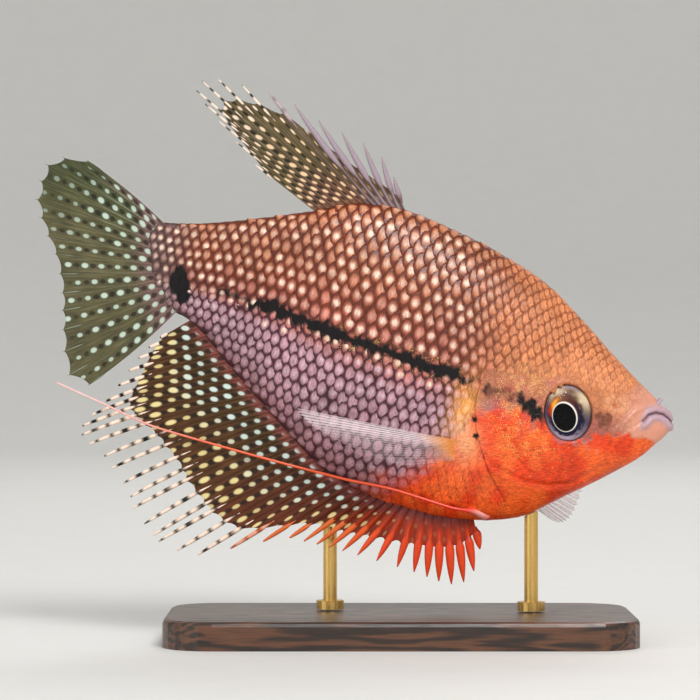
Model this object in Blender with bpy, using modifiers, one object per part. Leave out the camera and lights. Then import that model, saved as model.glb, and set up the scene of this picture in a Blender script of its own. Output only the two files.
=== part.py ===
"""A pearl gourami, life size, as a still model held on two rods over a flat display base.

Lengths are in millimetres until a mesh is made, and Blender's are in metres, with +Z up.
The fish is modelled in its own frame and then tipped nose down by the empty that carries it:
"back" is the distance behind the snout tip, y is to the fish's left, z is up from the snout tip.
The stand is modelled straight in the world, its base centred under the fish on z = 0.
"""

import math
import random

import bmesh
import bpy
import numpy as np
from mathutils import Matrix, Vector

MM = 0.001
GAP = 0.3  # left between pieces that touch

# How the fish is held
NOSE_DOWN = math.radians(17.0)
SNOUT_X = 49.0
SNOUT_Z = 39.2

# The body, from snout to tail: back, top line, underside, half width
BODY = (
    (0.0, 0.0, -1.3, 0.5),
    (0.6, 0.95, -2.9, 1.35),
    (1.6, 1.7, -4.4, 1.95),
    (3.5, 2.9, -7.4, 2.75),
    (7.0, 4.75, -11.2, 3.75),
    (14.0, 8.7, -17.8, 5.4),
    (22.0, 13.6, -24.7, 6.8),
    (30.0, 17.7, -27.5, 7.5),
    (38.0, 19.95, -28.8, 7.6),
    (46.0, 21.5, -29.0, 7.3),
    (57.0, 22.6, -26.7, 6.3),
    (65.0, 21.4, -22.5, 5.2),
    (73.0, 17.6, -17.6, 4.1),
    (80.0, 14.3, -13.2, 3.1),
    (88.0, 10.9, -8.2, 2.1),
    (93.0, 9.0, -6.9, 1.4),
    (98.0, 7.7, -5.4, 0.9),
)
WIDEST_LEVEL = 0.46  # of the depth, up from the underside
BACK_KEEL = 1.12
BREAST_KEEL, BELLY_KEEL = 0.85, 1.5
KEEL_FROM, KEEL_TO = 24.0, 46.0
RING = 17  # points down each flank, the two edges of the fish not counted

# The gill opening, which parts head and trunk, leads forward above and below its rearmost level
GILL_BACK, GILL_LEVEL = 35.3, -4.0
GILL_LEAD_ABOVE, GILL_LEAD_BELOW = 0.0113, 0.032
GILL_FADE_FRONT, GILL_FADE_REAR = 8.0, 62.0
GILL_FLARE, GILL_FLARE_LENGTH = 0.4, 11.0
GILL_COVER_TOP, GILL_COVER_FOOT = 4.0, -25.0
GILL_SLIT = 0.4

TRUNK_END = 62.0
TAIL_END, TAIL_SLANT, TAIL_SLANT_FROM = 93.6, 0.5, 70.0
HEAD_RINGS, TRUNK_RINGS, TAIL_RINGS = 20, 13, 12

# The line that parts the lower jaw from the head, seen from the side: back, level along the gape
# to its corner, under the cheek bone and down behind the jaw
JAW_LINE = (
    (-1.5, -1.0), (0.0, -0.15), (0.9, 0.45), (2.1, 0.85), (3.5, 0.75), (4.7, 0.0), (5.4, -1.4),
    (7.4, -3.6), (9.3, -5.6), (10.6, -9.4), (11.4, -17.5),
)
JAW_LINE_POINTS = 34
LIP_CORNER, LIP_FRONT, LIP_POINTS = 5.3, 0.4, 15
LIP_CORNER_RADIUS = 0.3
UPPER_LIP, LOWER_LIP = (0.5, 0.55), (-0.85, 0.85)  # level of the bar's middle over the gape, radius
# Low bones and creases of the head, back and level along each
CHEEK_BONE = ((2.9, 1.2), (4.2, 1.6), (5.6, 1.3), (7.2, -0.1), (8.5, -2.3), (9.6, -4.6))
CHEEK_BONE_RADIUS, CHEEK_BONE_SUNK = 0.75, 0.42
GILL_CREASE = ((34.0, -12.0), (32.1, -14.6), (29.1, -16.9), (23.6, -17.8), (18.5, -17.4), (14.6, -15.9), (11.9, -13.2))
GILL_CREASE_RADIUS, CREASE_POINTS = 0.32, 22
NOSTRIL_BACK, NOSTRIL_SPREAD = 3.5, 1.15
NOSTRIL_RADIUS, NOSTRIL_LENGTH = 0.36, 1.1
NOSTRIL_PIT_BACK, NOSTRIL_PIT_LEVEL, NOSTRIL_PIT_RADIUS = 11.0, -0.3, 0.55

# The eye is an upright oval lens, its long axis leaning back at the top
EYE_BACK, EYE_LEVEL = 18.8, -3.85
EYE_HALF_LENGTH, EYE_HALF_HEIGHT, EYE_HALF_DEPTH = 4.35, 5.1, 3.4
EYE_SUNK = 2.3
EYE_LEAN, EYE_FORWARD = math.radians(24.0), math.radians(9.0)
EYE_SEGMENTS, EYE_RINGS = 20, 12

# Fins
RAY_RIDGE, MEMBRANE = 0.95, 0.5
TIP_SHARE = 0.25
MEMBRANE_ROWS, FREE_ROWS = 4, 2

DORSAL_RAYS, DORSAL_SPINES = 15, 6
# share of the base, back, level of the ray's tip
DORSAL_TIPS = (
    (0.00, 60.8, 27.6), (0.07, 63.9, 30.4), (0.14, 67.7, 31.8), (0.28, 76.4, 33.3), (0.42, 86.2, 35.6),
    (0.56, 95.5, 35.2), (0.64, 98.9, 34.1), (0.71, 99.4, 32.2), (0.80, 96.6, 29.8), (0.90, 91.4, 26.4), (1.00, 85.4, 22.4),
)
DORSAL_FRONT, DORSAL_REAR = 57.5, 73.4
DORSAL_RAY_WIDTH = 0.62
DORSAL_BOW = 0.06

ANAL_SPINES, ANAL_SOFT_RAYS = 14, 23
ANAL_TIPS = (
    (0.000, 26.4, -32.0), (0.025, 26.3, -36.2), (0.055, 28.0, -38.9), (0.085, 30.8, -39.7), (0.15, 37.3, -39.4),
    (0.22, 47.8, -39.5), (0.34, 60.4, -40.1), (0.375, 65.7, -43.0), (0.44, 76.4, -48.2), (0.51, 83.4, -47.0),
    (0.59, 89.0, -42.4), (0.70, 96.2, -35.6), (0.78, 101.4, -32.2), (0.83, 99.8, -28.2), (0.90, 96.6, -20.6),
    (0.95, 94.9, -16.2), (1.00, 92.6, -12.4),
)
ANAL_FRONT, ANAL_REAR = 28.8, 88.8
ANAL_SPINE_SHARE = 0.335  # of the base that the spines take
ANAL_RAY_WIDTH = 0.6
# how far along its rays the membrane reaches, by share of the base
ANAL_WEB = (
    (0.0, 0.42), (0.05, 0.5), (0.1, 0.6), (0.2, 0.74), (0.28, 0.84), (0.35, 0.76), (0.42, 0.7), (0.5, 0.66), (0.62, 0.66),
    (0.75, 0.68), (0.85, 0.78), (1.0, 0.86),
)
DORSAL_WEB = ((0.0, 0.3), (0.1, 0.38), (0.2, 0.5), (0.32, 0.68), (0.45, 0.84), (0.6, 0.86), (0.8, 0.82), (1.0, 0.82))

CAUDAL_RAYS = 15
CAUDAL_TIPS = (
    (0.00, 114.6, 14.3), (0.08, 119.4, 13.5), (0.17, 122.0, 10.4), (0.27, 121.8, 5.6), (0.38, 119.3, 1.0),
    (0.50, 115.4, -3.6), (0.62, 112.5, -9.0), (0.75, 110.6, -14.6), (0.86, 108.6, -20.2), (0.94, 106.2, -24.2),
    (1.00, 102.6, -24.6),
)
CAUDAL_WEB = ((0.0, 0.96), (0.5, 0.93), (1.0, 0.95))
CAUDAL_TOP, CAUDAL_FOOT = 6.6, -6.4
CAUDAL_RAY_WIDTH = 0.62
CAUDAL_SWAY = 1.3

PECTORAL_RAYS = 9
PECTORAL_ROOT_BACK, PECTORAL_ROOT_TOP, PECTORAL_ROOT_FOOT = 34.4, -13.4, -18.0
PECTORAL_RAY_WIDTH = 0.44
PECTORAL_RIDGE, PECTORAL_MEMBRANE = 0.8, 0.5
PECTORAL_WEB = 0.97
# back, y out from the middle, level of the first and last ray's tip, and of the fan's middle ray
PECTORAL_SWEPT_TIPS = ((66.2, 10.4, -17.2), (59.2, 11.4, -20.3), (45.0, 11.2, -21.6))
PECTORAL_SPREAD_TIPS = ((9.3, 29.0, -13.6), (11.4, 29.5, -22.3), (18.0, 26.5, -20.6))

FEELER_POINTS = 26
FEELER_ROOT_RADIUS, FEELER_RADIUS, FEELER_TIP_RADIUS = 0.75, 0.42, 0.2
FEELER_CLEAR = 0.75  # from the flank to the feeler's middle line
# back, level along the long pelvic ray
RIGHT_FEELER = ((26.8, -25.9), (29.4, -25.7), (33.8, -26.2), (43.2, -26.1), (54.2, -27.0), (71.0, -27.7), (87.8, -28.0), (99.6, -26.6), (108.0, -25.5))
LEFT_FEELER = ((26.8, -25.9), (29.4, -26.0), (33.8, -26.9), (43.2, -28.0), (54.2, -29.8), (66.0, -31.4), (80.0, -32.2))
FEELER_REST_Y = 1.25

# The stand
BASE_LENGTH, BASE_WIDTH, BASE_HEIGHT = 84.0, 46.0, 5.0
BASE_CORNER, BASE_EDGE = 9.0, 0.8
ROD_RADIUS = 1.25
RODS = {"stand_rod_front": (23.6, 0.0), "stand_rod_rear": (-12.6, 3.9)}
ROD_SIDES = 20
ROD_REACH = 45.0
COLLAR_RADIUS, COLLAR_HEIGHT = 2.5, 1.6

SEED = 7


def clear_scene():
    for thing in list(bpy.data.objects):
        bpy.data.objects.remove(thing, do_unlink=True)


def new_collection(name):
    collection = bpy.data.collections.new(name)
    bpy.context.scene.collection.children.link(collection)
    return collection


def material(name, colour, roughness, metallic=0.0):
    made = bpy.data.materials.new(name)
    made.use_nodes = True
    shader = made.node_tree.nodes["Principled BSDF"]
    shader.inputs["Base Color"].default_value = (*colour, 1.0)
    shader.inputs["Roughness"].default_value = roughness
    shader.inputs["Metallic"].default_value = metallic
    made.diffuse_color = (*colour, 1.0)
    return made


def smooth(rows, column, at):
    """Column of rows at a value of their first column, on a curve through them that adds no bumps."""
    x = np.array([row[0] for row in rows], float)
    y = np.array([row[column] for row in rows], float)
    step = np.diff(x)
    slope = np.diff(y) / step
    bends = slope[:-1] * slope[1:]
    safe = np.where(bends > 0, slope[:-1] + slope[1:], 1.0)
    lean = np.concatenate([[slope[0]], np.where(bends > 0, 2 * bends / safe, 0.0), [slope[-1]]])
    k = np.clip(np.searchsorted(x, at) - 1, 0, len(step) - 1)
    t = (np.clip(at, x[0], x[-1]) - x[k]) / step[k]
    rise = (3 - 2 * t) * t * t
    return (
        y[k] * (1 - rise)
        + y[k + 1] * rise
        + step[k] * t * (1 - t) * (lean[k] * (1 - t) - lean[k + 1] * t)
    )


def ease(x, low, high):
    """From 0 at low to 1 at high, level at both ends."""
    t = min(max((x - low) / (high - low), 0.0), 1.0)
    return t * t * (3 - 2 * t)


def top_line(back):
    return float(smooth(BODY, 1, back))


def underside(back):
    return float(smooth(BODY, 2, back))


def section(back, turn, grow=0.0):
    """(y, z) of the flank at an angle from the top line, 0, to the underside, pi. y is never negative."""
    top, foot = top_line(back) + grow, underside(back) - grow
    half = float(smooth(BODY, 3, back)) + grow
    middle = foot + WIDEST_LEVEL * (top - foot)
    up = math.cos(turn)
    z = middle + up * (top - middle if up > 0 else middle - foot)
    belly = BREAST_KEEL + (BELLY_KEEL - BREAST_KEEL) * ease(back, KEEL_FROM, KEEL_TO)
    keel = BACK_KEEL + (belly - BACK_KEEL) * ease(turn, 0.0, math.pi)
    return half * max(math.sin(turn), 0.0) ** keel, z


def flank_y(back, z):
    """Half the body's width at a place on its side, 0 above or below it."""
    low, high = 0.0, math.pi
    if not underside(back) < z < top_line(back):
        return 0.0
    for _ in range(30):
        turn = (low + high) / 2
        if section(back, turn)[1] > z:
            low = turn
        else:
            high = turn
    return section(back, low)[0]


def gill_lead(z):
    lead = GILL_LEAD_ABOVE if z > GILL_LEVEL else GILL_LEAD_BELOW
    return lead * (z - GILL_LEVEL) ** 2


def ring_back(station, z):
    """Where a ring of the body lies at a level: rings bend forward round the gill, and slant at the tail."""
    toward_gill = ease(station, GILL_FADE_FRONT, GILL_BACK) * (1 - ease(station, GILL_BACK, GILL_FADE_REAR))
    slant = TAIL_SLANT * ease(station, TAIL_SLANT_FROM, TAIL_END)
    return station - toward_gill * gill_lead(z) + slant * z


def gill_flare(station, z, flare):
    """How far the gill cover stands out over the flank behind it."""
    cover = ease(z, GILL_COVER_FOOT, GILL_COVER_FOOT + 8) * (1 - ease(z, GILL_COVER_TOP - 8, GILL_COVER_TOP))
    return flare * cover * ease(station, GILL_BACK - GILL_FLARE_LENGTH, GILL_BACK)


def ring_point(station, turn, flare=0.0, grow=0.0):
    back = station
    for _ in range(24):
        y, z = section(back, turn, grow)
        back += 0.5 * (ring_back(station, z) - back)
    y, z = section(back, turn, grow)
    return back, y + gill_flare(station, z, flare), z


def to_local(back, y, z):
    return Vector((-back * MM, y * MM, z * MM))


def mesh_object(name, points, faces, finish, home, parent=None):
    mesh = bpy.data.meshes.new(name)
    mesh.from_pydata([tuple(p) for p in points], [], faces)
    mesh.update()
    made = bpy.data.objects.new(name, mesh)
    home.objects.link(made)
    if finish:
        mesh.materials.append(finish)
    made.parent = parent
    return made


def face_out(made):
    shape = bmesh.new()
    shape.from_mesh(made.data)
    bmesh.ops.recalc_face_normals(shape, faces=shape.faces)
    shape.to_mesh(made.data)
    shape.free()


def body_length(name, stations, finish, home, pose, flare=0.0, grow=0.0):
    """A closed length of the body between its first and last ring."""
    turns = [math.pi * k / (RING + 1) for k in range(RING + 2)]
    points, faces = [], []
    for station in stations:
        right = [ring_point(station, turn, flare, grow) for turn in turns]
        points += [to_local(back, -y, z) for back, y, z in right]
        points += [to_local(back, y, z) for back, y, z in right[-2:0:-1]]
    around = 2 * (RING + 1)
    for j in range(len(stations) - 1):
        for k in range(around):
            a, b = j * around + k, j * around + (k + 1) % around
            faces.append((a, b, b + around, a + around))
    for first in (0, (len(stations) - 1) * around):
        for k in range(RING + 1):
            rung = [k, k + 1, (around - k - 1) % around, (around - k) % around]
            faces.append([first + i for i in dict.fromkeys(rung)])
    made = mesh_object(name, points, faces, finish, home, pose)
    face_out(made)
    return made


def evaluated_mesh(made):
    """Bakes an object's modifiers or curve into a new mesh."""
    bpy.context.view_layer.update()
    return bpy.data.meshes.new_from_object(made.evaluated_get(bpy.context.evaluated_depsgraph_get()))


def keep_largest(mesh):
    """Leaves only the closed surface with the most faces."""
    shape = bmesh.new()
    shape.from_mesh(mesh)
    shape.faces.ensure_lookup_table()
    left, groups = set(shape.faces), []
    while left:
        group, edge = set(), [left.pop()]
        while edge:
            face = edge.pop()
            group.add(face)
            near = {f for side in face.edges for f in side.link_faces}
            edge += near & left
            left -= near
        groups.append(group)
    groups.sort(key=len)
    for group in groups[:-1]:
        bmesh.ops.delete(shape, geom=list(group), context="FACES")
    shape.to_mesh(mesh)
    shape.free()


def boolean(made, others, operation, solver="EXACT"):
    """Joins or cuts made with other closed meshes, applies it, and removes them."""
    helpers = bpy.data.collections.new("pieces")
    for other in others:
        helpers.objects.link(other)
    step = made.modifiers.new("boolean", "BOOLEAN")
    step.operation = operation
    step.operand_type = "COLLECTION"
    step.collection = helpers
    step.solver = solver
    mesh = evaluated_mesh(made)
    made.modifiers.remove(step)
    made.data = mesh
    for other in others:
        bpy.data.objects.remove(other, do_unlink=True)
    bpy.data.collections.remove(helpers)
    keep_largest(made.data)


def tube(name, line, radii, finish, home, parent=None, resolution=2):
    """A round bar along points in Blender's metres, as a curve."""
    curve = bpy.data.curves.new(name, "CURVE")
    curve.dimensions = "3D"
    curve.bevel_depth = MM
    curve.bevel_resolution = resolution
    curve.use_fill_caps = True
    spline = curve.splines.new("POLY")
    spline.points.add(len(line) - 1)
    for point, place, radius in zip(spline.points, line, radii):
        point.co = (*place, 1.0)
        point.radius = radius
    made = bpy.data.objects.new(name, curve)
    home.objects.link(made)
    made.parent = parent
    if finish:
        curve.materials.append(finish)
    return made


def as_mesh(curve):
    """The curve's tube as a closed mesh object in the curve's place."""
    mesh = evaluated_mesh(curve)
    shape = bmesh.new()
    shape.from_mesh(mesh)
    bmesh.ops.remove_doubles(shape, verts=shape.verts, dist=0.00001)
    bmesh.ops.recalc_face_normals(shape, faces=shape.faces)
    shape.to_mesh(mesh)
    shape.free()
    made = bpy.data.objects.new(curve.name + "_mesh", mesh)
    curve.users_collection[0].objects.link(made)
    made.parent = curve.parent
    made.matrix_world = curve.matrix_world
    bpy.data.objects.remove(curve, do_unlink=True)
    return made


def prism(name, outline, home, pose, half=14.0):
    """A closed block whose side view is the outline of (back, level) points."""
    count = len(outline)
    points = [to_local(back, y, z) for y in (-half, half) for back, z in outline]
    faces = [tuple(range(count)), tuple(range(2 * count - 1, count - 1, -1))]
    faces += [(i, i + count, (i + 1) % count + count, (i + 1) % count) for i in range(count)]
    made = mesh_object(name, points, faces, None, home, pose)
    face_out(made)
    return made


def jaw_outline(clear):
    """The lower jaw seen from the side, its line moved back and up by clear."""
    fine = np.linspace(JAW_LINE[0][0], JAW_LINE[-1][0], 400)
    levels = smooth(JAW_LINE, 1, fine)
    run = np.concatenate([[0], np.cumsum(np.hypot(np.diff(fine), np.diff(levels)))])
    at = np.linspace(0, run[-1], JAW_LINE_POINTS)
    line = [Vector(p) for p in zip(np.interp(at, run, fine), np.interp(at, run, levels))]
    moved = []
    for k, p in enumerate(line):
        along = (line[min(k + 1, len(line) - 1)] - line[max(k - 1, 0)]).normalized()
        moved.append(p + Vector((-along.y, along.x)) * clear)
    return [tuple(p) for p in moved] + [(-4.0, JAW_LINE[-1][1])]


def lip(offset, radius, home, pose):
    """A lip as a bent bar round the gape from corner to corner."""
    line, radii = [], []
    for k in range(LIP_POINTS):
        swing = math.pi * (k / (LIP_POINTS - 1) - 0.5)
        bent = 1 - math.cos(swing)
        back = LIP_FRONT + (LIP_CORNER - LIP_FRONT) * bent
        gape = float(smooth(JAW_LINE, 1, back))
        thick = radius + (LIP_CORNER_RADIUS - radius) * bent**2
        y = flank_y(back, gape - LIP_CORNER_RADIUS) * (0.95 - 0.15 * bent**3) * math.tanh(4 * swing)
        line.append(to_local(back, y, gape + offset * thick / radius))
        radii.append(thick)
    return as_mesh(tube("lip", line, radii, None, home, pose, resolution=3))


def skin_y(back, z):
    """Half the head's width at a place on its side, with the gill cover's flare."""
    station = back
    for _ in range(24):
        station += 0.5 * (back - ring_back(station, z))
    return flank_y(back, z) + gill_flare(station, z, GILL_FLARE)


def side_bar(route, points, radius, sunk, side, home, pose):
    """A bar that follows the side of the head along back and level, its middle sunk below the skin."""
    fine = np.linspace(0, 1, len(route))
    line, radii = [], []
    for t in np.linspace(0, 1, points):
        back, z = (float(smooth([(u, *p) for u, p in zip(fine, route)], column, t)) for column in (1, 2))
        line.append(to_local(back, side * (skin_y(back, z) - sunk), z))
        radii.append(radius * (1 - 0.6 * abs(2 * t - 1) ** 3))
    return as_mesh(tube("bar", line, radii, None, home, pose))


def ball(name, centre, half_sizes, turn, finish, home, pose, segments, rings):
    """A closed oval ball about a place in the fish's frame."""
    shape = bmesh.new()
    bmesh.ops.create_uvsphere(shape, u_segments=segments, v_segments=rings, radius=1.0)
    size = Matrix.Diagonal((half_sizes[0] * MM, half_sizes[2] * MM, half_sizes[1] * MM, 1.0))
    on_side = Matrix.Rotation(math.pi / 2, 4, "X")
    bmesh.ops.transform(shape, matrix=Matrix.Translation(centre) @ turn @ size @ on_side, verts=shape.verts)
    mesh = bpy.data.meshes.new(name)
    shape.to_mesh(mesh)
    shape.free()
    made = bpy.data.objects.new(name, mesh)
    home.objects.link(made)
    made.parent = pose
    if finish:
        mesh.materials.append(finish)
        mesh.shade_smooth()
    face_out(made)
    return made


def eye(name, side, grow, finish, home, pose):
    """The eyeball, or its socket where grow is the gap round it. side is -1 on the right."""
    centre = to_local(EYE_BACK, side * (flank_y(EYE_BACK, EYE_LEVEL) - EYE_SUNK), EYE_LEVEL)
    turn = Matrix.Rotation(-side * EYE_FORWARD, 4, "Z") @ Matrix.Rotation(-EYE_LEAN, 4, "Y")
    sizes = [EYE_HALF_LENGTH + grow, EYE_HALF_HEIGHT + grow, EYE_HALF_DEPTH + grow]
    return ball(name, centre, sizes, turn, finish, home, pose, EYE_SEGMENTS, EYE_RINGS)


def nostril_tube(side, home, pose):
    """The short front nostril tube, its root sunk in the snout."""
    level = top_line(NOSTRIL_BACK) - 0.45
    foot = to_local(NOSTRIL_BACK + 0.3, side * NOSTRIL_SPREAD * 0.9, level - 0.9)
    end = to_local(NOSTRIL_BACK - 0.35, side * NOSTRIL_SPREAD, level + NOSTRIL_LENGTH)
    return as_mesh(tube("nostril", [foot, end], [NOSTRIL_RADIUS * 1.25, NOSTRIL_RADIUS * 0.8], None, home, pose))


def nostril_pit(side, home, pose):
    y = side * flank_y(NOSTRIL_PIT_BACK, NOSTRIL_PIT_LEVEL)
    centre = to_local(NOSTRIL_PIT_BACK, y, NOSTRIL_PIT_LEVEL)
    sizes = [NOSTRIL_PIT_RADIUS * 1.3, NOSTRIL_PIT_RADIUS, NOSTRIL_PIT_RADIUS]
    return ball("pit", centre, sizes, Matrix.Identity(4), None, home, pose, 10, 6)


def make_body(home, pose, finishes):
    """Head with its lips and sockets, lower jaw, trunk, tail and eyes."""
    spread = np.linspace(0, 1, HEAD_RINGS) ** 1.35
    head_stations = [GILL_BACK * t for t in spread]
    head = body_length("head", head_stations, finishes["head"], home, pose, flare=GILL_FLARE)
    additions = [lip(*UPPER_LIP, home, pose), lip(*LOWER_LIP, home, pose)]
    for side in (-1, 1):
        additions.append(nostril_tube(side, home, pose))
        additions.append(side_bar(CHEEK_BONE, 12, CHEEK_BONE_RADIUS, CHEEK_BONE_SUNK, side, home, pose))
    boolean(head, additions, "UNION")
    jaw = head.copy()
    jaw.data = head.data.copy()
    jaw.name = "lower_jaw"
    home.objects.link(jaw)
    boolean(jaw, [prism("jaw_room", jaw_outline(0.0), home, pose)], "INTERSECT")
    cutters = [prism("jaw_cut", jaw_outline(GAP), home, pose)]
    cutters += [eye("socket", side, GAP, None, home, pose) for side in (-1, 1)]
    for side in (-1, 1):
        cutters.append(nostril_pit(side, home, pose))
        cutters.append(side_bar(GILL_CREASE, CREASE_POINTS, GILL_CREASE_RADIUS, 0.0, side, home, pose))
    boolean(head, cutters, "DIFFERENCE")

    trunk_stations = np.linspace(GILL_BACK + GILL_SLIT, TRUNK_END, TRUNK_RINGS)
    body_length("trunk", trunk_stations, finishes["flank"], home, pose)
    tail_stations = np.linspace(TRUNK_END + GAP, TAIL_END, TAIL_RINGS)
    body_length("tail", tail_stations, finishes["flank"], home, pose)
    for side, name in ((-1, "eye_right"), (1, "eye_left")):
        eye(name, side, 0.0, finishes["eye"], home, pose)


def bezier(start, bend, end, t):
    return start * (1 - t) ** 2 + bend * (2 * t * (1 - t)) + end * t * t


def fin(name, rays, plane, ridge, membrane, finish, home, pose):
    """A webbed fin: one sheet with three columns of points a ray, which Solidify thickens most along the rays.

    Each ray is (root front edge, root rear edge, bend, tip, width, web share), its points as (back, y, z) vectors,
    and plane gives the direction across the sheet at a ray."""
    rows_in, rows = MEMBRANE_ROWS, MEMBRANE_ROWS + FREE_ROWS
    points, faces, weights = [], [], []
    thin = membrane / ridge
    for front, rear, bend, tip, width, web in rays:
        root = (front + rear) / 2
        for row in range(rows + 1):
            t = web * row / rows_in if row <= rows_in else web + (1 - web) * (row - rows_in) / FREE_ROWS
            middle = bezier(root, bend, tip, t)
            along = bezier(root, bend, tip, min(t + 0.02, 1.02)) - bezier(root, bend, tip, t - 0.02)
            side = along.cross(plane).normalized()
            if side.dot(rear - front) < 0:
                side.negate()
            half = width / 2 * (1 - (1 - TIP_SHARE) * t)
            edges = (front, rear) if row == 0 else (middle - side * half, middle + side * half)
            points += [to_local(*edges[0]), to_local(*middle), to_local(*edges[1])]
            crest = 1 - (1 - thin) * t
            points_thick = (thin, crest, thin)
            ease_tip = 1 - 0.5 * ease(t, web, 1.0)
            weights += [w * ease_tip for w in points_thick]
    step = 3 * (rows + 1)
    for r in range(len(rays)):
        for row in range(rows):
            a = r * step + 3 * row
            faces += [(a, a + 1, a + 4, a + 3), (a + 1, a + 2, a + 5, a + 4)]
            if r + 1 < len(rays) and row < rows_in:
                faces.append((a + 2, a + step, a + step + 3, a + 5))
    made = mesh_object(name, points, faces, finish, home, pose)
    shape = bmesh.new()
    shape.from_mesh(made.data)
    bmesh.ops.triangulate(shape, faces=shape.faces)
    bmesh.ops.recalc_face_normals(shape, faces=shape.faces)
    shape.to_mesh(made.data)
    shape.free()
    group = made.vertex_groups.new(name="thickness")
    for index, weight in enumerate(weights):
        group.add([index], weight, "REPLACE")
    solid = made.modifiers.new("thickness", "SOLIDIFY")
    solid.thickness = ridge * MM
    solid.offset = 0.0
    solid.vertex_group = group.name
    return made


def fan(base_shares, base_point, tips, web, width, bow, sway=None, jitter=None):
    """Rays from points along a base to points along a curve of tips, all by share of the base."""
    rays = []
    for share in base_shares:
        centre = base_point(share)
        ahead = base_point(share + 0.001) - base_point(share - 0.001)
        ahead.normalize()
        tip_back, tip_level = (float(smooth(tips, column, share)) for column in (1, 2))
        if jitter:
            tip_back += jitter(share)
        y = sway(share) if sway else 0.0
        tip = Vector((tip_back, y, tip_level))
        run = tip - centre
        normal = Vector((-run.z, 0.0, run.x))
        bend = (centre + tip) / 2 + normal * bow(share)
        bend.y = y * 0.3
        across = ahead * (width / 2)
        rays.append((centre - across, centre + across, bend, tip, width, float(smooth(web, 1, share))))
    return rays


def along_edge(edge, first, last, side):
    """A function from share of a fin's base to its point, just clear of the body's top line or underside."""
    backs = np.linspace(first, last, 200)
    levels = np.array([edge(b) for b in backs])
    lengths = np.concatenate([[0], np.cumsum(np.hypot(np.diff(backs), np.diff(levels)))])

    def point(share):
        back = float(np.interp(share * lengths[-1], lengths, backs))
        back += min(share, 0.0) * lengths[-1] + max(share - 1.0, 0.0) * lengths[-1]
        return Vector((back, 0.0, edge(back) + side * GAP * 1.2))

    return point


def make_fins(home, pose, finishes):
    chance = random.Random(SEED)
    upright = Vector((0.0, 1.0, 0.0))

    shares = [k / (DORSAL_RAYS - 1) for k in range(DORSAL_RAYS)]
    base = along_edge(top_line, DORSAL_FRONT, DORSAL_REAR, 1)
    rays = fan(shares, base, DORSAL_TIPS, DORSAL_WEB, DORSAL_RAY_WIDTH, lambda s: -DORSAL_BOW * (1 - s))
    fin("dorsal_fin", rays, upright, RAY_RIDGE, MEMBRANE, finishes["dorsal"], home, pose)

    spines = [ANAL_SPINE_SHARE * k / ANAL_SPINES for k in range(ANAL_SPINES)]
    soft = [ANAL_SPINE_SHARE + (1 - ANAL_SPINE_SHARE) * k / (ANAL_SOFT_RAYS - 1) for k in range(ANAL_SOFT_RAYS)]
    base = along_edge(underside, ANAL_FRONT, ANAL_REAR, -1)
    rays = fan(
        spines + soft,
        base,
        ANAL_TIPS,
        ANAL_WEB,
        ANAL_RAY_WIDTH,
        lambda s: 0.05 * ease(s, 0.35, 0.6) * (1 - ease(s, 0.8, 0.95)),
        jitter=lambda s: chance.uniform(-0.9, 0.9) * ease(s, 0.34, 0.5) * (1 - ease(s, 0.8, 0.92)),
    )
    fin("anal_fin", rays, upright, RAY_RIDGE, MEMBRANE, finishes["anal"], home, pose)

    def tail_edge(share):
        level = CAUDAL_TOP + (CAUDAL_FOOT - CAUDAL_TOP) * share
        return Vector((ring_back(TAIL_END, level) + GAP * 1.4, 0.0, level))

    shares = [k / (CAUDAL_RAYS - 1) for k in range(CAUDAL_RAYS)]
    rays = fan(
        shares,
        tail_edge,
        CAUDAL_TIPS,
        CAUDAL_WEB,
        CAUDAL_RAY_WIDTH,
        lambda s: 0.05 * math.cos(math.pi * s),
        sway=lambda s: CAUDAL_SWAY * math.sin(2 * math.pi * s),
    )
    fin("caudal_fin", rays, upright, RAY_RIDGE, MEMBRANE, finishes["caudal"], home, pose)

    make_pectoral("pectoral_fin_right", -1, PECTORAL_SWEPT_TIPS, finishes["pectoral"], home, pose)
    make_pectoral("pectoral_fin_left", 1, PECTORAL_SPREAD_TIPS, finishes["pectoral"], home, pose)


def make_pectoral(name, side, tips, finish, home, pose):
    """A paired fin behind the gill, fanned from its short root to three named tips."""
    first, middle, last = (Vector((back, side * y, z)) for back, y, z in tips)
    rays = []
    for k in range(PECTORAL_RAYS):
        share = k / (PECTORAL_RAYS - 1)
        level = PECTORAL_ROOT_TOP + (PECTORAL_ROOT_FOOT - PECTORAL_ROOT_TOP) * share
        skin = flank_y(PECTORAL_ROOT_BACK, level) + GAP * 1.5 + RAY_RIDGE / 4
        root = Vector((PECTORAL_ROOT_BACK, side * skin, level))
        tip = bezier(first, middle * 2 - (first + last) / 2, last, share)
        out = Vector((0.0, side * (tip - root).length * 0.16, 0.0))
        bend = root + (tip - root) * 0.4 + out
        half = Vector((0.0, 0.0, PECTORAL_RAY_WIDTH / 2))
        rays.append((root + half, root - half, bend, tip, PECTORAL_RAY_WIDTH, PECTORAL_WEB))
    run = middle - rays[PECTORAL_RAYS // 2][0]
    plane = run.cross(Vector((0.0, 0.0, 1.0))).normalized()
    if plane.y < 0:
        plane.negate()
    fin(name, rays, plane, PECTORAL_RIDGE, PECTORAL_MEMBRANE, finish, home, pose)


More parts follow.
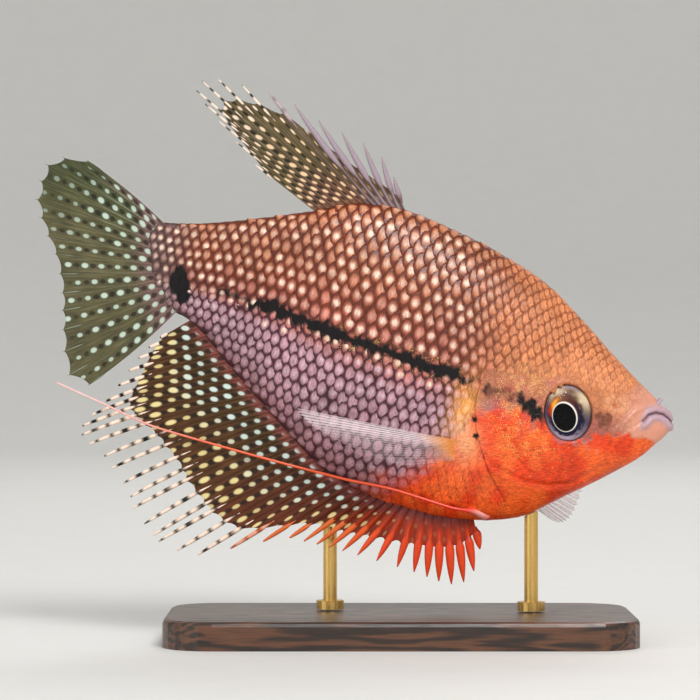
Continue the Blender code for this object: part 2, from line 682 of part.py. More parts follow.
def make_feeler(name, side, route, finish, home, pose):
    """The thread-like pelvic ray, from the breast back past the anal fin, outside the flank."""
    first, last = route[0][0], route[-1][0]
    line, radii = [], []
    for k in range(FEELER_POINTS):
        t = k / (FEELER_POINTS - 1)
        back = first + (last - first) * t
        z = float(smooth(route, 1, back))
        flank = max(flank_y(back + step, z + lift) for step in (-1.5, 0, 1.5) for lift in (0.0, 0.8))
        y = max(flank + FEELER_CLEAR + 0.5 * (1 - ease(t, 0.0, 0.08)), FEELER_REST_Y)
        line.append([back, side * y, z])
        width = FEELER_RADIUS + (FEELER_ROOT_RADIUS - FEELER_RADIUS) * (1 - ease(t, 0.0, 0.06))
        radii.append(width + (FEELER_TIP_RADIUS - FEELER_RADIUS) * t ** 1.5)
    ys = np.convolve(np.pad([p[1] for p in line], 1, mode="edge"), (0.25, 0.5, 0.25), mode="valid")
    line = [to_local(back, y, z) for (back, _, z), y in zip(line, ys)]
    return tube(name, line, radii, finish, home, pose)


def make_stand(home, pose, finishes):
    """The base and its two rods, the rods' tops hollowed to the body that they meet."""
    shape = bmesh.new()
    bmesh.ops.create_cube(shape, size=1.0)
    size = Matrix.Diagonal((BASE_LENGTH * MM, BASE_WIDTH * MM, BASE_HEIGHT * MM, 1.0))
    bmesh.ops.transform(shape, matrix=Matrix.Translation((0, 0, BASE_HEIGHT * MM / 2)) @ size, verts=shape.verts)
    upright = [e for e in shape.edges if abs(e.verts[0].co.z - e.verts[1].co.z) > MM]
    bmesh.ops.bevel(shape, geom=upright, offset=BASE_CORNER * MM, segments=6, profile=0.5, affect="EDGES")
    rim = [e for e in shape.edges if min(v.co.z for v in e.verts) > BASE_HEIGHT * MM * 0.9]
    bmesh.ops.bevel(shape, geom=rim, offset=BASE_EDGE * MM, segments=2, profile=0.5, affect="EDGES")
    mesh = bpy.data.meshes.new("stand_base")
    shape.to_mesh(mesh)
    shape.free()
    mesh.materials.append(finishes["base"])
    home.objects.link(bpy.data.objects.new("stand_base", mesh))
    for name, (x, y) in RODS.items():
        foot, top = BASE_HEIGHT + GAP, BASE_HEIGHT + GAP + ROD_REACH
        rod = upright_bar(name, x, y, foot, top, ROD_RADIUS, finishes["rod"], home)
        collar = upright_bar("collar", x, y, foot, foot + COLLAR_HEIGHT, COLLAR_RADIUS, None, home)
        boolean(rod, [collar], "UNION")
        stations = np.linspace(4.0, TAIL_END, 40)
        boolean(rod, [body_length("body_room", stations, None, home, pose, grow=GAP)], "DIFFERENCE")


def upright_bar(name, x, y, low, high, radius, finish, home):
    shape = bmesh.new()
    bmesh.ops.create_cone(
        shape, cap_ends=True, segments=ROD_SIDES, radius1=radius * MM, radius2=radius * MM, depth=(high - low) * MM
    )
    bmesh.ops.translate(shape, vec=(x * MM, y * MM, (low + high) / 2 * MM), verts=shape.verts)
    mesh = bpy.data.meshes.new(name)
    shape.to_mesh(mesh)
    shape.free()
    if finish:
        mesh.materials.append(finish)
    made = bpy.data.objects.new(name, mesh)
    home.objects.link(made)
    return made


def shade(home):
    for made in home.objects:
        if made.type == "MESH":
            made.data.shade_smooth()
            made.data.set_sharp_from_angle(angle=math.radians(40))


def main():
    clear_scene()
    home = new_collection("pearl_gourami")
    finishes = {
        "head": material("head_skin", (0.66, 0.24, 0.12), 0.42),
        "flank": material("flank_skin", (0.46, 0.29, 0.27), 0.42),
        "eye": material("eye", (0.05, 0.05, 0.07), 0.12),
        "dorsal": material("dorsal_web", (0.36, 0.25, 0.18), 0.4),
        "anal": material("anal_web", (0.42, 0.16, 0.06), 0.4),
        "caudal": material("caudal_web", (0.2, 0.2, 0.15), 0.4),
        "pectoral": material("pectoral_web", (0.62, 0.55, 0.62), 0.35),
        "feeler": material("feeler", (0.78, 0.2, 0.08), 0.4),
        "base": material("dark_wood", (0.07, 0.045, 0.03), 0.4),
        "rod": material("rod_brass", (0.71, 0.56, 0.29), 0.3, 1.0),
    }
    pose = bpy.data.objects.new("fish_pose", None)
    home.objects.link(pose)
    pose.location = (SNOUT_X * MM, 0.0, SNOUT_Z * MM)
    pose.rotation_euler = (0.0, NOSE_DOWN, 0.0)
    bpy.context.view_layer.update()
    make_body(home, pose, finishes)
    make_fins(home, pose, finishes)
    make_feeler("pelvic_fin_right", -1, RIGHT_FEELER, finishes["feeler"], home, pose)
    make_feeler("pelvic_fin_left", 1, LEFT_FEELER, finishes["feeler"], home, pose)
    make_stand(home, pose, finishes)
    shade(home)


main()
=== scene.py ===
"""The looks of a life-size pearl gourami: its skin, scales, eyes, fins and feelers, over a plain display stand.

The fish is shaped in its own frame, in millimetres, as its solids are: back is the distance behind the snout
tip, y is to its left and z is up from the snout tip. place() tips that frame nose down into the room.
"""

import math

import bpy
import numpy as np
from bpy.props import FloatProperty, FloatVectorProperty, IntProperty, PointerProperty
from bpy.types import Operator, Panel, PropertyGroup
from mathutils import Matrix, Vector


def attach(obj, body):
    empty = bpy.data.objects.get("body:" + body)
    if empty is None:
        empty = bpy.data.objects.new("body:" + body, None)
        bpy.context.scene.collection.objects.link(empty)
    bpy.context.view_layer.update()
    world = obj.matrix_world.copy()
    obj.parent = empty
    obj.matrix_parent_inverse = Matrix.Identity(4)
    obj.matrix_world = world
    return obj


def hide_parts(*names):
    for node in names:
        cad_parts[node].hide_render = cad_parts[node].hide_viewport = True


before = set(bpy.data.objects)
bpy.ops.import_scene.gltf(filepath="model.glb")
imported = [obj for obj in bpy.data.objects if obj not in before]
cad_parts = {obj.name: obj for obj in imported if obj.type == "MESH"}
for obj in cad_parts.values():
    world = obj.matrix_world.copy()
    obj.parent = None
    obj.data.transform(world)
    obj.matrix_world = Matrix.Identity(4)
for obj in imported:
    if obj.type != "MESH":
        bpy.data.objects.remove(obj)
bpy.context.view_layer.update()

bl_info = {
    "name": "Pearl Gourami",
    "version": (1, 0, 0),
    "blender": (4, 5, 0),
    "location": "3D View > Sidebar > Gourami",
    "description": "Dresses the solids of a pearl gourami on its display stand",
    "category": "Object",
}

MM = 0.001

# How the fish is held
NOSE_DOWN = math.radians(17.0)
SNOUT_X, SNOUT_Z = 49.0, 39.2

# The body, from snout to tail: back, top line, underside, half width
BODY = (
    (0.0, 0.0, -1.3, 0.5),
    (0.6, 0.95, -2.9, 1.35),
    (1.6, 1.7, -4.4, 1.95),
    (3.5, 2.9, -7.4, 2.75),
    (7.0, 4.75, -11.2, 3.75),
    (14.0, 8.7, -17.8, 5.4),
    (22.0, 13.6, -24.7, 6.8),
    (30.0, 17.7, -27.5, 7.5),
    (38.0, 19.95, -28.8, 7.6),
    (46.0, 21.5, -29.0, 7.3),
    (57.0, 22.6, -26.7, 6.3),
    (65.0, 21.4, -22.5, 5.2),
    (73.0, 17.6, -17.6, 4.1),
    (80.0, 14.3, -13.2, 3.1),
    (88.0, 10.9, -8.2, 2.1),
    (93.0, 9.0, -6.9, 1.4),
    (98.0, 7.7, -5.4, 0.9),
)
WIDEST_LEVEL = 0.46
BACK_KEEL = 1.12
BREAST_KEEL, BELLY_KEEL = 0.85, 1.5
KEEL_FROM, KEEL_TO = 24.0, 46.0
GILL_BACK, GILL_LEVEL = 35.3, -4.0
GILL_LEAD_ABOVE, GILL_LEAD_BELOW = 0.0113, 0.032
GILL_FADE_FRONT, GILL_FADE_REAR = 8.0, 62.0
GILL_FLARE, GILL_FLARE_LENGTH = 0.4, 11.0
GILL_COVER_TOP, GILL_COVER_FOOT = 4.0, -25.0
TAIL_END, TAIL_SLANT, TAIL_SLANT_FROM = 93.6, 0.5, 70.0
FLESH_END = 97.8  # where the flesh has thinned out over the foot of the tail fin
TAIL_ROUND = 2.2  # how much sooner it ends along its top and bottom edges

# Lines on the head, back and level along each
GAPE = ((-1.5, -1.0), (0.0, -0.15), (0.9, 0.45), (2.1, 0.85), (3.5, 0.75), (4.7, 0.0), (5.4, -1.4))
JAW_EDGE = ((5.4, -1.4), (7.4, -3.6), (9.3, -5.6), (10.6, -9.4))
CHEEK_BONE = ((1.6, 1.5), (2.9, 1.9), (4.2, 2.0), (5.6, 1.6), (7.2, 0.1), (8.5, -2.1), (9.6, -4.5))
GILL_CREASE = ((34.0, -12.0), (32.1, -14.6), (29.1, -16.9), (23.6, -17.8), (18.5, -17.4), (14.6, -15.9), (9.5, -10.9))
SCALED_BROW = (
    (0.0, 30.0), (7.0, 12.0), (8.5, 4.0), (10.5, 2.0), (13.0, 1.6), (16.5, 2.4), (20.0, 2.6), (24.0, 0.4),
    (29.0, -1.6), (36.0, -4.4),
)
RED_EDGE = (
    (0.0, -3.6), (5.0, -3.4), (9.0, -5.4), (13.0, -6.6), (18.0, -8.3), (24.0, -6.2), (30.0, -6.6),
    (34.5, -9.5), (38.0, -17.5), (44.0, -24.0), (52.0, -28.5), (60.0, -30.0),
)
STRIPE = (
    (10.0, -6.0), (20.0, -6.4), (24.0, -5.8), (26.8, -4.8), (29.5, -4.0), (32.0, -3.6), (34.5, -4.2), (37.0, -3.8),
    (42.0, -3.1), (50.0, -3.0), (60.0, -2.8), (67.0, -2.0), (75.0, -1.4), (83.0, -1.4), (90.0, -1.9), (98.0, -2.2),
)
STRIPE_HALF = (
    (19.0, 0.8), (23.5, 1.3), (27.0, 1.35), (29.5, 0.8), (32.0, 0.75), (34.5, 1.1), (37.0, 0.7), (41.0, 0.95),
    (50.0, 1.05), (62.0, 1.15), (72.0, 1.0), (80.0, 0.65), (90.0, 0.5),
)
STRIPE_STRENGTH = (
    (22.2, 0.0), (23.6, 1.0), (27.8, 1.0), (29.2, 0.7), (30.4, 0.3), (32.0, 0.75), (33.2, 0.5), (34.6, 1.0),
    (36.6, 0.55), (38.5, 0.95), (41.0, 1.0), (74.0, 1.0), (79.0, 0.75), (86.0, 0.5), (91.0, 0.0),
)
TAIL_SPOT = (91.9, -1.9, 1.9, 3.3)  # back, level, half length, half height
GILL_DOTS = ((34.5, -9.8), (33.4, -12.6))

# Eye and pupil: back, level, half length, half height, lean of the top to the rear
EYE = (18.8, -3.85, 4.35, 5.1, math.radians(24.0))
PUPIL = (19.24, -4.81, 2.05, 2.55, math.radians(36.0))

# Fins, as the solids have them: share of the base, back, level of the ray's tip
DORSAL_RAYS, DORSAL_SPINES = 15, 6
DORSAL_TIPS = (
    (0.00, 60.8, 27.6), (0.07, 63.9, 30.4), (0.14, 67.7, 31.8), (0.28, 76.4, 33.3), (0.42, 86.2, 35.6),
    (0.56, 95.5, 35.2), (0.64, 98.9, 34.1), (0.71, 99.4, 32.2), (0.80, 96.6, 29.8), (0.90, 91.4, 26.4),
    (1.00, 85.4, 22.4),
)
DORSAL_FRONT, DORSAL_REAR, DORSAL_BOW = 57.5, 73.4, 0.06
ANAL_SPINES, ANAL_SOFT_RAYS, ANAL_SPINE_SHARE = 14, 23, 0.335
ANAL_TIPS = (
    (0.000, 26.4, -32.0), (0.025, 26.3, -36.2), (0.055, 28.0, -38.9), (0.085, 30.8, -39.7), (0.15, 37.3, -39.4),
    (0.22, 47.8, -39.5), (0.34, 60.4, -40.1), (0.375, 65.7, -43.0), (0.44, 76.4, -48.2), (0.51, 83.4, -47.0),
    (0.59, 89.0, -42.4), (0.70, 96.2, -35.6), (0.78, 101.4, -32.2), (0.83, 99.8, -28.2), (0.90, 96.6, -20.6),
    (0.95, 94.9, -16.2), (1.00, 92.6, -12.4),
)
ANAL_FRONT, ANAL_REAR = 28.8, 88.8
DORSAL_WEB = ((0.0, 0.3), (0.1, 0.38), (0.2, 0.5), (0.32, 0.68), (0.45, 0.84), (0.6, 0.86), (0.8, 0.82), (1.0, 0.82))
ANAL_WEB = (
    (0.0, 0.42), (0.05, 0.5), (0.1, 0.6), (0.2, 0.74), (0.28, 0.84), (0.35, 0.76), (0.42, 0.7), (0.5, 0.66),
    (0.62, 0.66), (0.75, 0.68), (0.85, 0.78), (1.0, 0.86),
)
CAUDAL_RAYS = 15
CAUDAL_TIPS = (
    (0.00, 114.6, 14.3), (0.08, 119.4, 13.5), (0.17, 122.0, 10.4), (0.27, 121.8, 5.6), (0.38, 119.3, 1.0),
    (0.50, 115.4, -3.6), (0.62, 112.5, -9.0), (0.75, 110.6, -14.6), (0.86, 108.6, -20.2), (0.94, 106.2, -24.2),
    (1.00, 102.6, -24.6),
)
CAUDAL_TOP, CAUDAL_FOOT, CAUDAL_SWAY = 6.6, -6.4, 1.3
PECTORAL_RAYS = 17  # finer than the solid's
PECTORAL_ROOT_SUNK = 1.1
PECTORAL_ROOT_BACK, PECTORAL_ROOT_TOP, PECTORAL_ROOT_FOOT = 34.4, -13.4, -18.0
PECTORAL_SWEPT_TIPS = ((66.2, 10.4, -17.2), (59.2, 11.4, -20.3), (45.0, 11.2, -21.6))
# The spread fin hangs about 1.5 mm lower than its solid
PECTORAL_SPREAD_TIPS = ((9.3, 29.0, -13.6), (10.2, 29.3, -23.6), (16.6, 26.3, -22.2))
RIGHT_FEELER = (
    (26.8, -25.9), (29.4, -25.7), (33.8, -26.2), (43.2, -26.1), (54.2, -27.0), (71.0, -27.7), (87.8, -28.0),
    (99.6, -26.6), (108.0, -25.5),
)
LEFT_FEELER = (
    (26.8, -25.9), (29.4, -26.0), (33.8, -26.9), (43.2, -28.0), (54.2, -29.8), (66.0, -31.4), (80.0, -32.2),
)
FEELER_CLEAR, FEELER_REST_Y, FEELER_ROOT_SUNK = 0.75, 1.25, 2.4
FIN_SUNK = 0.9  # how deep a fin's foot stands in the body
FIN_FOOT_OUT = 0.36  # how far the foot of the back or anal fin lies off the body's edge
THREAD_SIDES, FEELER_SIDES, NOSE_TUBE_SIDES = 8, 12, 14

# The camera and the room
PHOTO_CENTRE_X, PHOTO_CENTRE_Z, PHOTO_WIDTH = -0.009, 0.0522, 0.126
CAMERA_DISTANCE, SENSOR = 0.6, 36.0


def colour(red, green, blue):
    """A scene-linear colour from its display values, 0 to 255."""
    return tuple((c / 255 / 12.92) if c < 10.3 else ((c / 255 + 0.055) / 1.055) ** 2.4 for c in (red, green, blue))


def colour_property(name, description, red, green, blue):
    """A colour setting, its default given as display values, 0 to 255."""
    return FloatVectorProperty(
        name=name, description=description, subtype="COLOR", size=3, min=0.0, max=1.0, default=colour(red, green, blue)
    )


# ---- Shapes ----


def through(rows, column, at):
    """Column of rows at values of their first column, on a curve through them that adds no bumps."""
    x = np.array([row[0] for row in rows], float)
    y = np.array([row[column] for row in rows], float)
    step = np.diff(x)
    slope = np.diff(y) / step
    bends = slope[:-1] * slope[1:]
    safe = np.where(bends > 0, slope[:-1] + slope[1:], 1.0)
    lean = np.concatenate([[slope[0]], np.where(bends > 0, 2 * bends / safe, 0.0), [slope[-1]]])
    k = np.clip(np.searchsorted(x, at) - 1, 0, len(step) - 1)
    t = (np.clip(at, x[0], x[-1]) - x[k]) / step[k]
    rise = (3 - 2 * t) * t * t
    return y[k] * (1 - rise) + y[k + 1] * rise + step[k] * t * (1 - t) * (lean[k] * (1 - t) - lean[k + 1] * t)


def ease(x, low, high):
    """From 0 at low to 1 at high, level at both ends."""
    t = np.clip((np.asarray(x, float) - low) / (high - low), 0.0, 1.0)
    return t * t * (3 - 2 * t)


def bell(x, width):
    """1 at 0, falling softly to about a third a width away."""
    return np.exp(-((x / width) ** 2))


def top_line(back):
    """Level of the top of the body."""
    return through(BODY, 1, back)


def underside(back):
    """Level of the underside of the body."""
    return through(BODY, 2, back)


def section(back, turn, grow):
    """(y, z) of the flank at an angle from the top line, 0, to the underside, pi."""
    top, foot = top_line(back) + grow, underside(back) - grow
    half = np.maximum(through(BODY, 3, back) + grow, 0.05)
    middle = foot + WIDEST_LEVEL * (top - foot)
    up = np.cos(turn)
    z = middle + up * np.where(up > 0, top - middle, middle - foot)
    belly = BREAST_KEEL + (BELLY_KEEL - BREAST_KEEL) * ease(back, KEEL_FROM, KEEL_TO)
    keel = BACK_KEEL + (belly - BACK_KEEL) * ease(turn, 0.0, math.pi)
    return half * np.maximum(np.sin(turn), 0.0) ** keel, z


def flank_y(back, z, grow=0.0):
    """Half the body's width at places on its side, 0 above or below it."""
    top, foot = top_line(back) + grow, underside(back) - grow
    middle = foot + WIDEST_LEVEL * (top - foot)
    up = np.where(z > middle, (z - middle) / (top - middle), (z - middle) / (middle - foot))
    return np.where(np.abs(up) < 1, section(back, np.arccos(np.clip(up, -1, 1)), grow)[0], 0.0)


def ring_back(station, z):
    """Where a ring of the body lies at a level: rings bend forward round the gill, and slant at the tail."""
    lead = np.where(z > GILL_LEVEL, GILL_LEAD_ABOVE, GILL_LEAD_BELOW) * (z - GILL_LEVEL) ** 2
    toward = ease(station, GILL_FADE_FRONT, GILL_BACK) * (1 - ease(station, GILL_BACK, GILL_FADE_REAR))
    slant = TAIL_SLANT * ease(station, TAIL_SLANT_FROM, TAIL_END) * z
    rounded = TAIL_ROUND * ease(station, TAIL_END, FLESH_END) * np.minimum((z / 7) ** 2, 1.3)
    return station - toward * lead + slant - rounded


def station_of(back, z):
    """The ring that passes through places on the flank."""
    station = np.array(back, float)
    for _ in range(24):
        station = station + 0.5 * (back - ring_back(station, z))
    return station


def tail_thin(station):
    """How much of the flank's width is left where the flesh thins out over the foot of the tail fin."""
    return 1 - 0.8 * ease(station, TAIL_END - 1.5, FLESH_END + 0.4)


def place(points):
    """The room's coordinates, in metres, of (back, y, z) points of the fish."""
    back, y, z = np.moveaxis(np.asarray(points, float), -1, 0)
    c, s = math.cos(NOSE_DOWN), math.sin(NOSE_DOWN)
    return np.stack([SNOUT_X - back * c + z * s, y, SNOUT_Z + back * s + z * c], axis=-1) * MM


def off_line(line, back, z, side_of_line=False):
    """How far places lie from a line on the side of the head, signed with above positive if asked."""
    fine = np.linspace(0, len(line) - 1, 12 * len(line))
    bx = np.interp(fine, range(len(line)), [p[0] for p in line])
    bz = np.interp(fine, range(len(line)), [p[1] for p in line])
    shape = back.shape
    gap_x = back.reshape(-1, 1) - bx
    gap_z = z.reshape(-1, 1) - bz
    far = np.hypot(gap_x, gap_z)
    near = far.argmin(axis=1)
    rows = np.arange(len(near))
    distance = far[rows, near]
    if side_of_line:
        along_x, along_z = np.gradient(bx)[near], np.gradient(bz)[near]
        distance = distance * np.sign(along_x * gap_z[rows, near] - along_z * gap_x[rows, near])
    return distance.reshape(shape)


def mottle(x, y, size, seed):
    """Smooth chance values from 0 to 1 over a plane, with features of a size."""
    table = np.random.default_rng(seed).random((64, 64))
    u, v = np.asarray(x, float) / size, np.asarray(y, float) / size
    i, j = np.floor(u).astype(int), np.floor(v).astype(int)
    a, b = u - i, v - j
    a, b = a * a * (3 - 2 * a), b * b * (3 - 2 * b)
    corner = lambda di, dj: table[(i + di) % 64, (j + dj) % 64]
    return (corner(0, 0) * (1 - a) + corner(1, 0) * a) * (1 - b) + (corner(0, 1) * (1 - a) + corner(1, 1) * a) * b


def blend(low, high, share):
    """Colours from low to high by a share at each place."""
    share = np.asarray(share)[..., None]
    return np.asarray(low) * (1 - share) + np.asarray(high) * share


def mesh_piece(name, points, faces, material, colours=None, values=None, maps=None):
    """A smooth mesh from room coordinates, with colours and values at its points and maps as UV layers."""
    mesh = bpy.data.meshes.new(name)
    mesh.from_pydata(np.asarray(points).reshape(-1, 3), [], [tuple(face) for face in faces])
    mesh.shade_smooth()
    for key, data in (colours or {}).items():
        layer = mesh.attributes.new(key, "FLOAT_COLOR", "POINT")
        data = np.asarray(data).reshape(-1, 3)
        layer.data.foreach_set("color", np.concatenate([data, np.ones((len(data), 1))], axis=1).ravel())
    for key, data in (values or {}).items():
        layer = mesh.attributes.new(key, "FLOAT", "POINT")
        layer.data.foreach_set("value", np.asarray(data, float).ravel())
    corners = np.empty(len(mesh.loops), int)
    mesh.loops.foreach_get("vertex_index", corners)
    for key, data in (maps or {}).items():
        layer = mesh.uv_layers.new(name=key)
        layer.data.foreach_set("uv", np.asarray(data, float).reshape(-1, 2)[corners].ravel())
    mesh.materials.append(material)
    mesh.validate()
    piece = bpy.data.objects.new(name, mesh)
    bpy.context.scene.collection.objects.link(piece)
    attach(piece, "root")
    return piece


def grid_faces(rows, columns, start=0, around=False):
    """The quads of a grid of points, its columns joined end to end if around."""
    r, c = np.meshgrid(np.arange(rows - 1), np.arange(columns if around else columns - 1), indexing="ij")
    beside = (c + 1) % columns
    quads = np.stack([r * columns + c, r * columns + beside, (r + 1) * columns + beside, (r + 1) * columns + c], -1)
    return quads.reshape(-1, 4) + start


# ---- Colours of the fish, by place ----


def ink_at(back, z):
    """How black the stripe, tail spot and gill dots are at places on the flank."""
    ragged = 1.7 * (mottle(back + 0.3 * z, z * 0.3, 0.75, 3) - 0.5) + 1.0 * (mottle(back, z, 2.0, 4) - 0.5)
    half = through(STRIPE_HALF, 1, back)
    band = 1 - ease(np.abs(z - through(STRIPE, 1, back)) + ragged, half * 0.75, half * 1.1 + 0.1)
    broken = ease(mottle(back, z, 1.3, 5), 0.12, 0.34)
    broken = broken + (1 - broken) * ease(back, 37, 43)
    band = band * through(STRIPE_STRENGTH, 1, back) * broken
    level, height = z - TAIL_SPOT[1], TAIL_SPOT[3]
    lean = (back - TAIL_SPOT[0] - 0.25 * level) / (TAIL_SPOT[2] * (1 - 0.3 * level / height))
    spot = 1 - ease(np.hypot(lean, level / height) + 0.25 * ragged, 0.8, 1.1)
    dots = sum(1 - ease(np.hypot(back - b, z - level) + 0.2 * ragged, 0.35, 0.6) for b, level in GILL_DOTS)
    return np.clip(np.maximum(np.maximum(band, spot), dots), 0, 1)


def redness(back, z):
    """How far the orange red of throat and breast covers places on the flank."""
    wander = 3.0 * (mottle(back, z, 3.0, 11) - 0.5) + 2.2 * (mottle(back, z, 0.9, 12) - 0.5)
    soft = 1.0 + 1.4 * ease(back, 19, 26) + 2.2 * ease(back, 34, 46)
    return ease(through(RED_EDGE, 1, back) - z + wander, -soft, soft) * (1 - ease(back, 44, 56))


def flesh(back, z, look):
    """(middle, rim, pearl) of the scales at places on the body: two colours and how bright a pearl may be."""
    stripe = through(STRIPE, 1, back)
    up = np.clip((z - stripe) / np.maximum(top_line(back) - stripe, 1.0), 0, 1)
    down = np.clip((stripe - z) / np.maximum(stripe - underside(back), 1.0), 0, 1)
    front = 1 - ease(back, 27, 43)
    middle = blend(look.flank_pink, look.flank_cream, ease(up, 0.05, 0.6))
    middle = blend(middle, look.flank_lilac, ease(down, 0.02, 0.3))
    middle = blend(middle, look.belly, 0.75 * ease(down, 0.62, 1.0) * ease(back, 36, 50))
    middle = blend(middle, look.nape, np.maximum(front * ease(z, -5, 0), 0.5 * ease(up, 0.8, 1.0)))
    rim = blend(look.rim_lower, look.rim_upper, ease(up - down, -0.15, 0.2))
    rim = blend(rim, look.rim_nape, front * ease(z, -6, -1))
    shade = 0.84 + 0.32 * mottle(back, z, 5.0, 21)
    shade = shade * (1 - 0.22 * ease(back, 66, 92))
    middle, rim = middle * shade[..., None], rim * shade[..., None]
    patch = bell(np.hypot((back - 36.7) / 2.4, (z + 8.6) / 4.6), 1.0)
    middle, rim = (blend(c, look.gill_yellow, patch * 0.85) for c in (middle, rim))
    red = redness(back, z)
    glow = mottle(back, z, 2.4, 13)
    hot = blend(look.throat_red, look.throat_orange, 0.2 + 0.55 * ease(glow, 0.2, 0.9))
    hot = hot * (0.86 + 0.28 * mottle(back, z, 4.0, 14))[..., None]
    middle = blend(middle, hot, red)
    rim = blend(rim, hot * 0.84, red)
    base = bell(np.hypot((back - 35.4) / 3.6, (z + 14.6) / 3.8), 1.0) * (0.55 + 0.45 * glow)
    middle, rim = (blend(c, look.fin_root, base * 0.8) for c in (middle, rim))
    tail = ease(back - 0.3 * z, 88.0, 97.0)
    middle = blend(middle, look.tail_foot, 0.85 * tail)
    rim = blend(rim, np.asarray(look.tail_foot) * 0.4, 0.85 * tail)
    dimmer = (1 - 0.35 * ease(down, 0.12, 0.4) - 0.3 * ease(down, 0.5, 0.9)) * (1 - 0.6 * ease(up, 0.85, 1.0))
    return middle, rim, (1 - red) * dimmer * ease(back, 34, 43)


def face_colour(back, z, look):
    """The skin's colour at places on the head, from the scaled brow down."""
    middle, rim, _ = flesh(back, z, look)
    base = middle * 0.86 + rim * 0.14
    snout = 1 - ease(np.hypot(back, (z + 1.0) * 0.8), 6.5, 12.5)
    red = redness(back, z)
    base = blend(base, look.snout, snout * (1 - red))
    reach = np.hypot((back - 12.1) / 1.75, (z + 3.2) / 1.5) + 0.7 * (mottle(back, z, 0.7, 31) - 0.5)
    patch = (1 - ease(reach, 0.75, 1.15)) * (0.55 + 0.45 * mottle(back, z, 0.35, 32))
    base = blend(base, look.lore_brown, patch)
    pale = bell(np.hypot((back - 11.0) / 2.0, (z - 0.2) / 1.3) - 0.9, 0.35) * (1 - red)
    base = blend(base, look.fin_root, 0.4 * pale)
    lips = bell(np.maximum(off_line(GAPE, back, z) - 0.8, 0.0), 0.7) * (1 - ease(back, 5.0, 6.4))
    base = blend(base, look.lips, (0.6 + 0.3 * mottle(back, z, 0.7, 35)) * lips)
    # Painted shade: the lip groove is darkened where shade falls in it
    groove = bell(off_line(GAPE, back, z), 0.2)
    base = blend(base, look.hollow_shade, 0.75 * groove)
    cheek = bell(np.hypot((back - 27.5) / 5.5, (z + 7.0) / 4.0), 1.0)
    base = blend(base, look.cheek_rose, cheek * ease(mottle(back, z, 2.0, 33), 0.5, 0.8) * 0.6)
    temple = bell(np.hypot((back - 25.5) / 3.5, (z - 0.5) / 3.0), 1.0)
    return blend(base, look.temple_pink, temple * ease(mottle(back, z, 1.8, 34), 0.35, 0.75) * 0.6)


def gold_at(back, z):
    """How thickly gold flecks lie on the cheek, the gill cover and the edge of the stripe."""
    cheek = bell(np.hypot((back - 28.5) / 5.5, (z + 3.5) / 5.0), 1.0)
    low = bell(np.hypot((back - 25.0) / 7.0, (z + 11.5) / 3.4), 1.0) * 0.5
    edge = bell(np.abs(z - through(STRIPE, 1, back)) - 1.3, 0.8) * ease(back, 36, 42) * (1 - ease(back, 66, 74)) * 0.5
    return np.clip(cheek + low + edge, 0, 1)


# ---- Shader nodes ----


def node(tree, kind, inputs=None, **settings):
    """Adds a node. Inputs are sockets or constant values, by name or number."""
    made = tree.nodes.new(kind)
    for key, value in settings.items():
        setattr(made, key, value)
    for key, value in (inputs or {}).items():
        socket = made.inputs[key]
        if isinstance(value, bpy.types.NodeSocket):
            tree.links.new(value, socket)
        elif hasattr(socket.default_value, "__len__") and len(value) == 3 and len(socket.default_value) == 4:
            socket.default_value = (*value, 1.0)
        else:
            socket.default_value = value
    return made


def sums(tree, operation, *values, clamp=False):
    """The result of a maths node."""
    return node(tree, "ShaderNodeMath", dict(enumerate(values)), operation=operation, use_clamp=clamp).outputs[0]


def fade(tree, value, low, high, at_low=0.0, at_high=1.0):
    """A soft step of a value between two limits."""
    inputs = {"Value": value, "From Min": low, "From Max": high, "To Min": at_low, "To Max": at_high}
    return node(tree, "ShaderNodeMapRange", inputs, interpolation_type="SMOOTHSTEP").outputs[0]


def mixed(tree, share, low, high, way="MIX"):
    """Two colours mixed by a share."""
    mix = node(tree, "ShaderNodeMix", {0: share}, data_type="RGBA", blend_type=way)
    for socket, value in ((mix.inputs[6], low), (mix.inputs[7], high)):
        if isinstance(value, bpy.types.NodeSocket):
            tree.links.new(value, socket)
        else:
            socket.default_value = (*value, 1.0)
    return mix.outputs[2]


def read(tree, name, output="Color"):
    """A colour, or with "Fac" a value, kept at the mesh's points."""
    return node(tree, "ShaderNodeAttribute", attribute_name=name).outputs[output]


def mapped(tree, name):
    """Places on one of the mesh's UV maps."""
    return node(tree, "ShaderNodeUVMap", uv_map=name).outputs[0]


def group_tree(name, inputs, outputs):
    """A new node group with named sockets, each (name, kind, default), and its input and output nodes."""
    tree = bpy.data.node_groups.new(name, "ShaderNodeTree")
    for label, kind, default in inputs:
        socket = tree.interface.new_socket(label, in_out="INPUT", socket_type=kind)
        if default is not None:
            socket.default_value = default
    for label, kind in outputs:
        tree.interface.new_socket(label, in_out="OUTPUT", socket_type=kind)
    return tree, tree.nodes.new("NodeGroupInput").outputs, tree.nodes.new("NodeGroupOutput").inputs


def use_group(tree, name, **inputs):
    """Places one of the shared groups in a material, and builds it if it isn't there yet."""
    if name not in bpy.data.node_groups:
        GROUPS[name]()
    return node(tree, "ShaderNodeGroup", inputs, node_tree=bpy.data.node_groups[name]).outputs


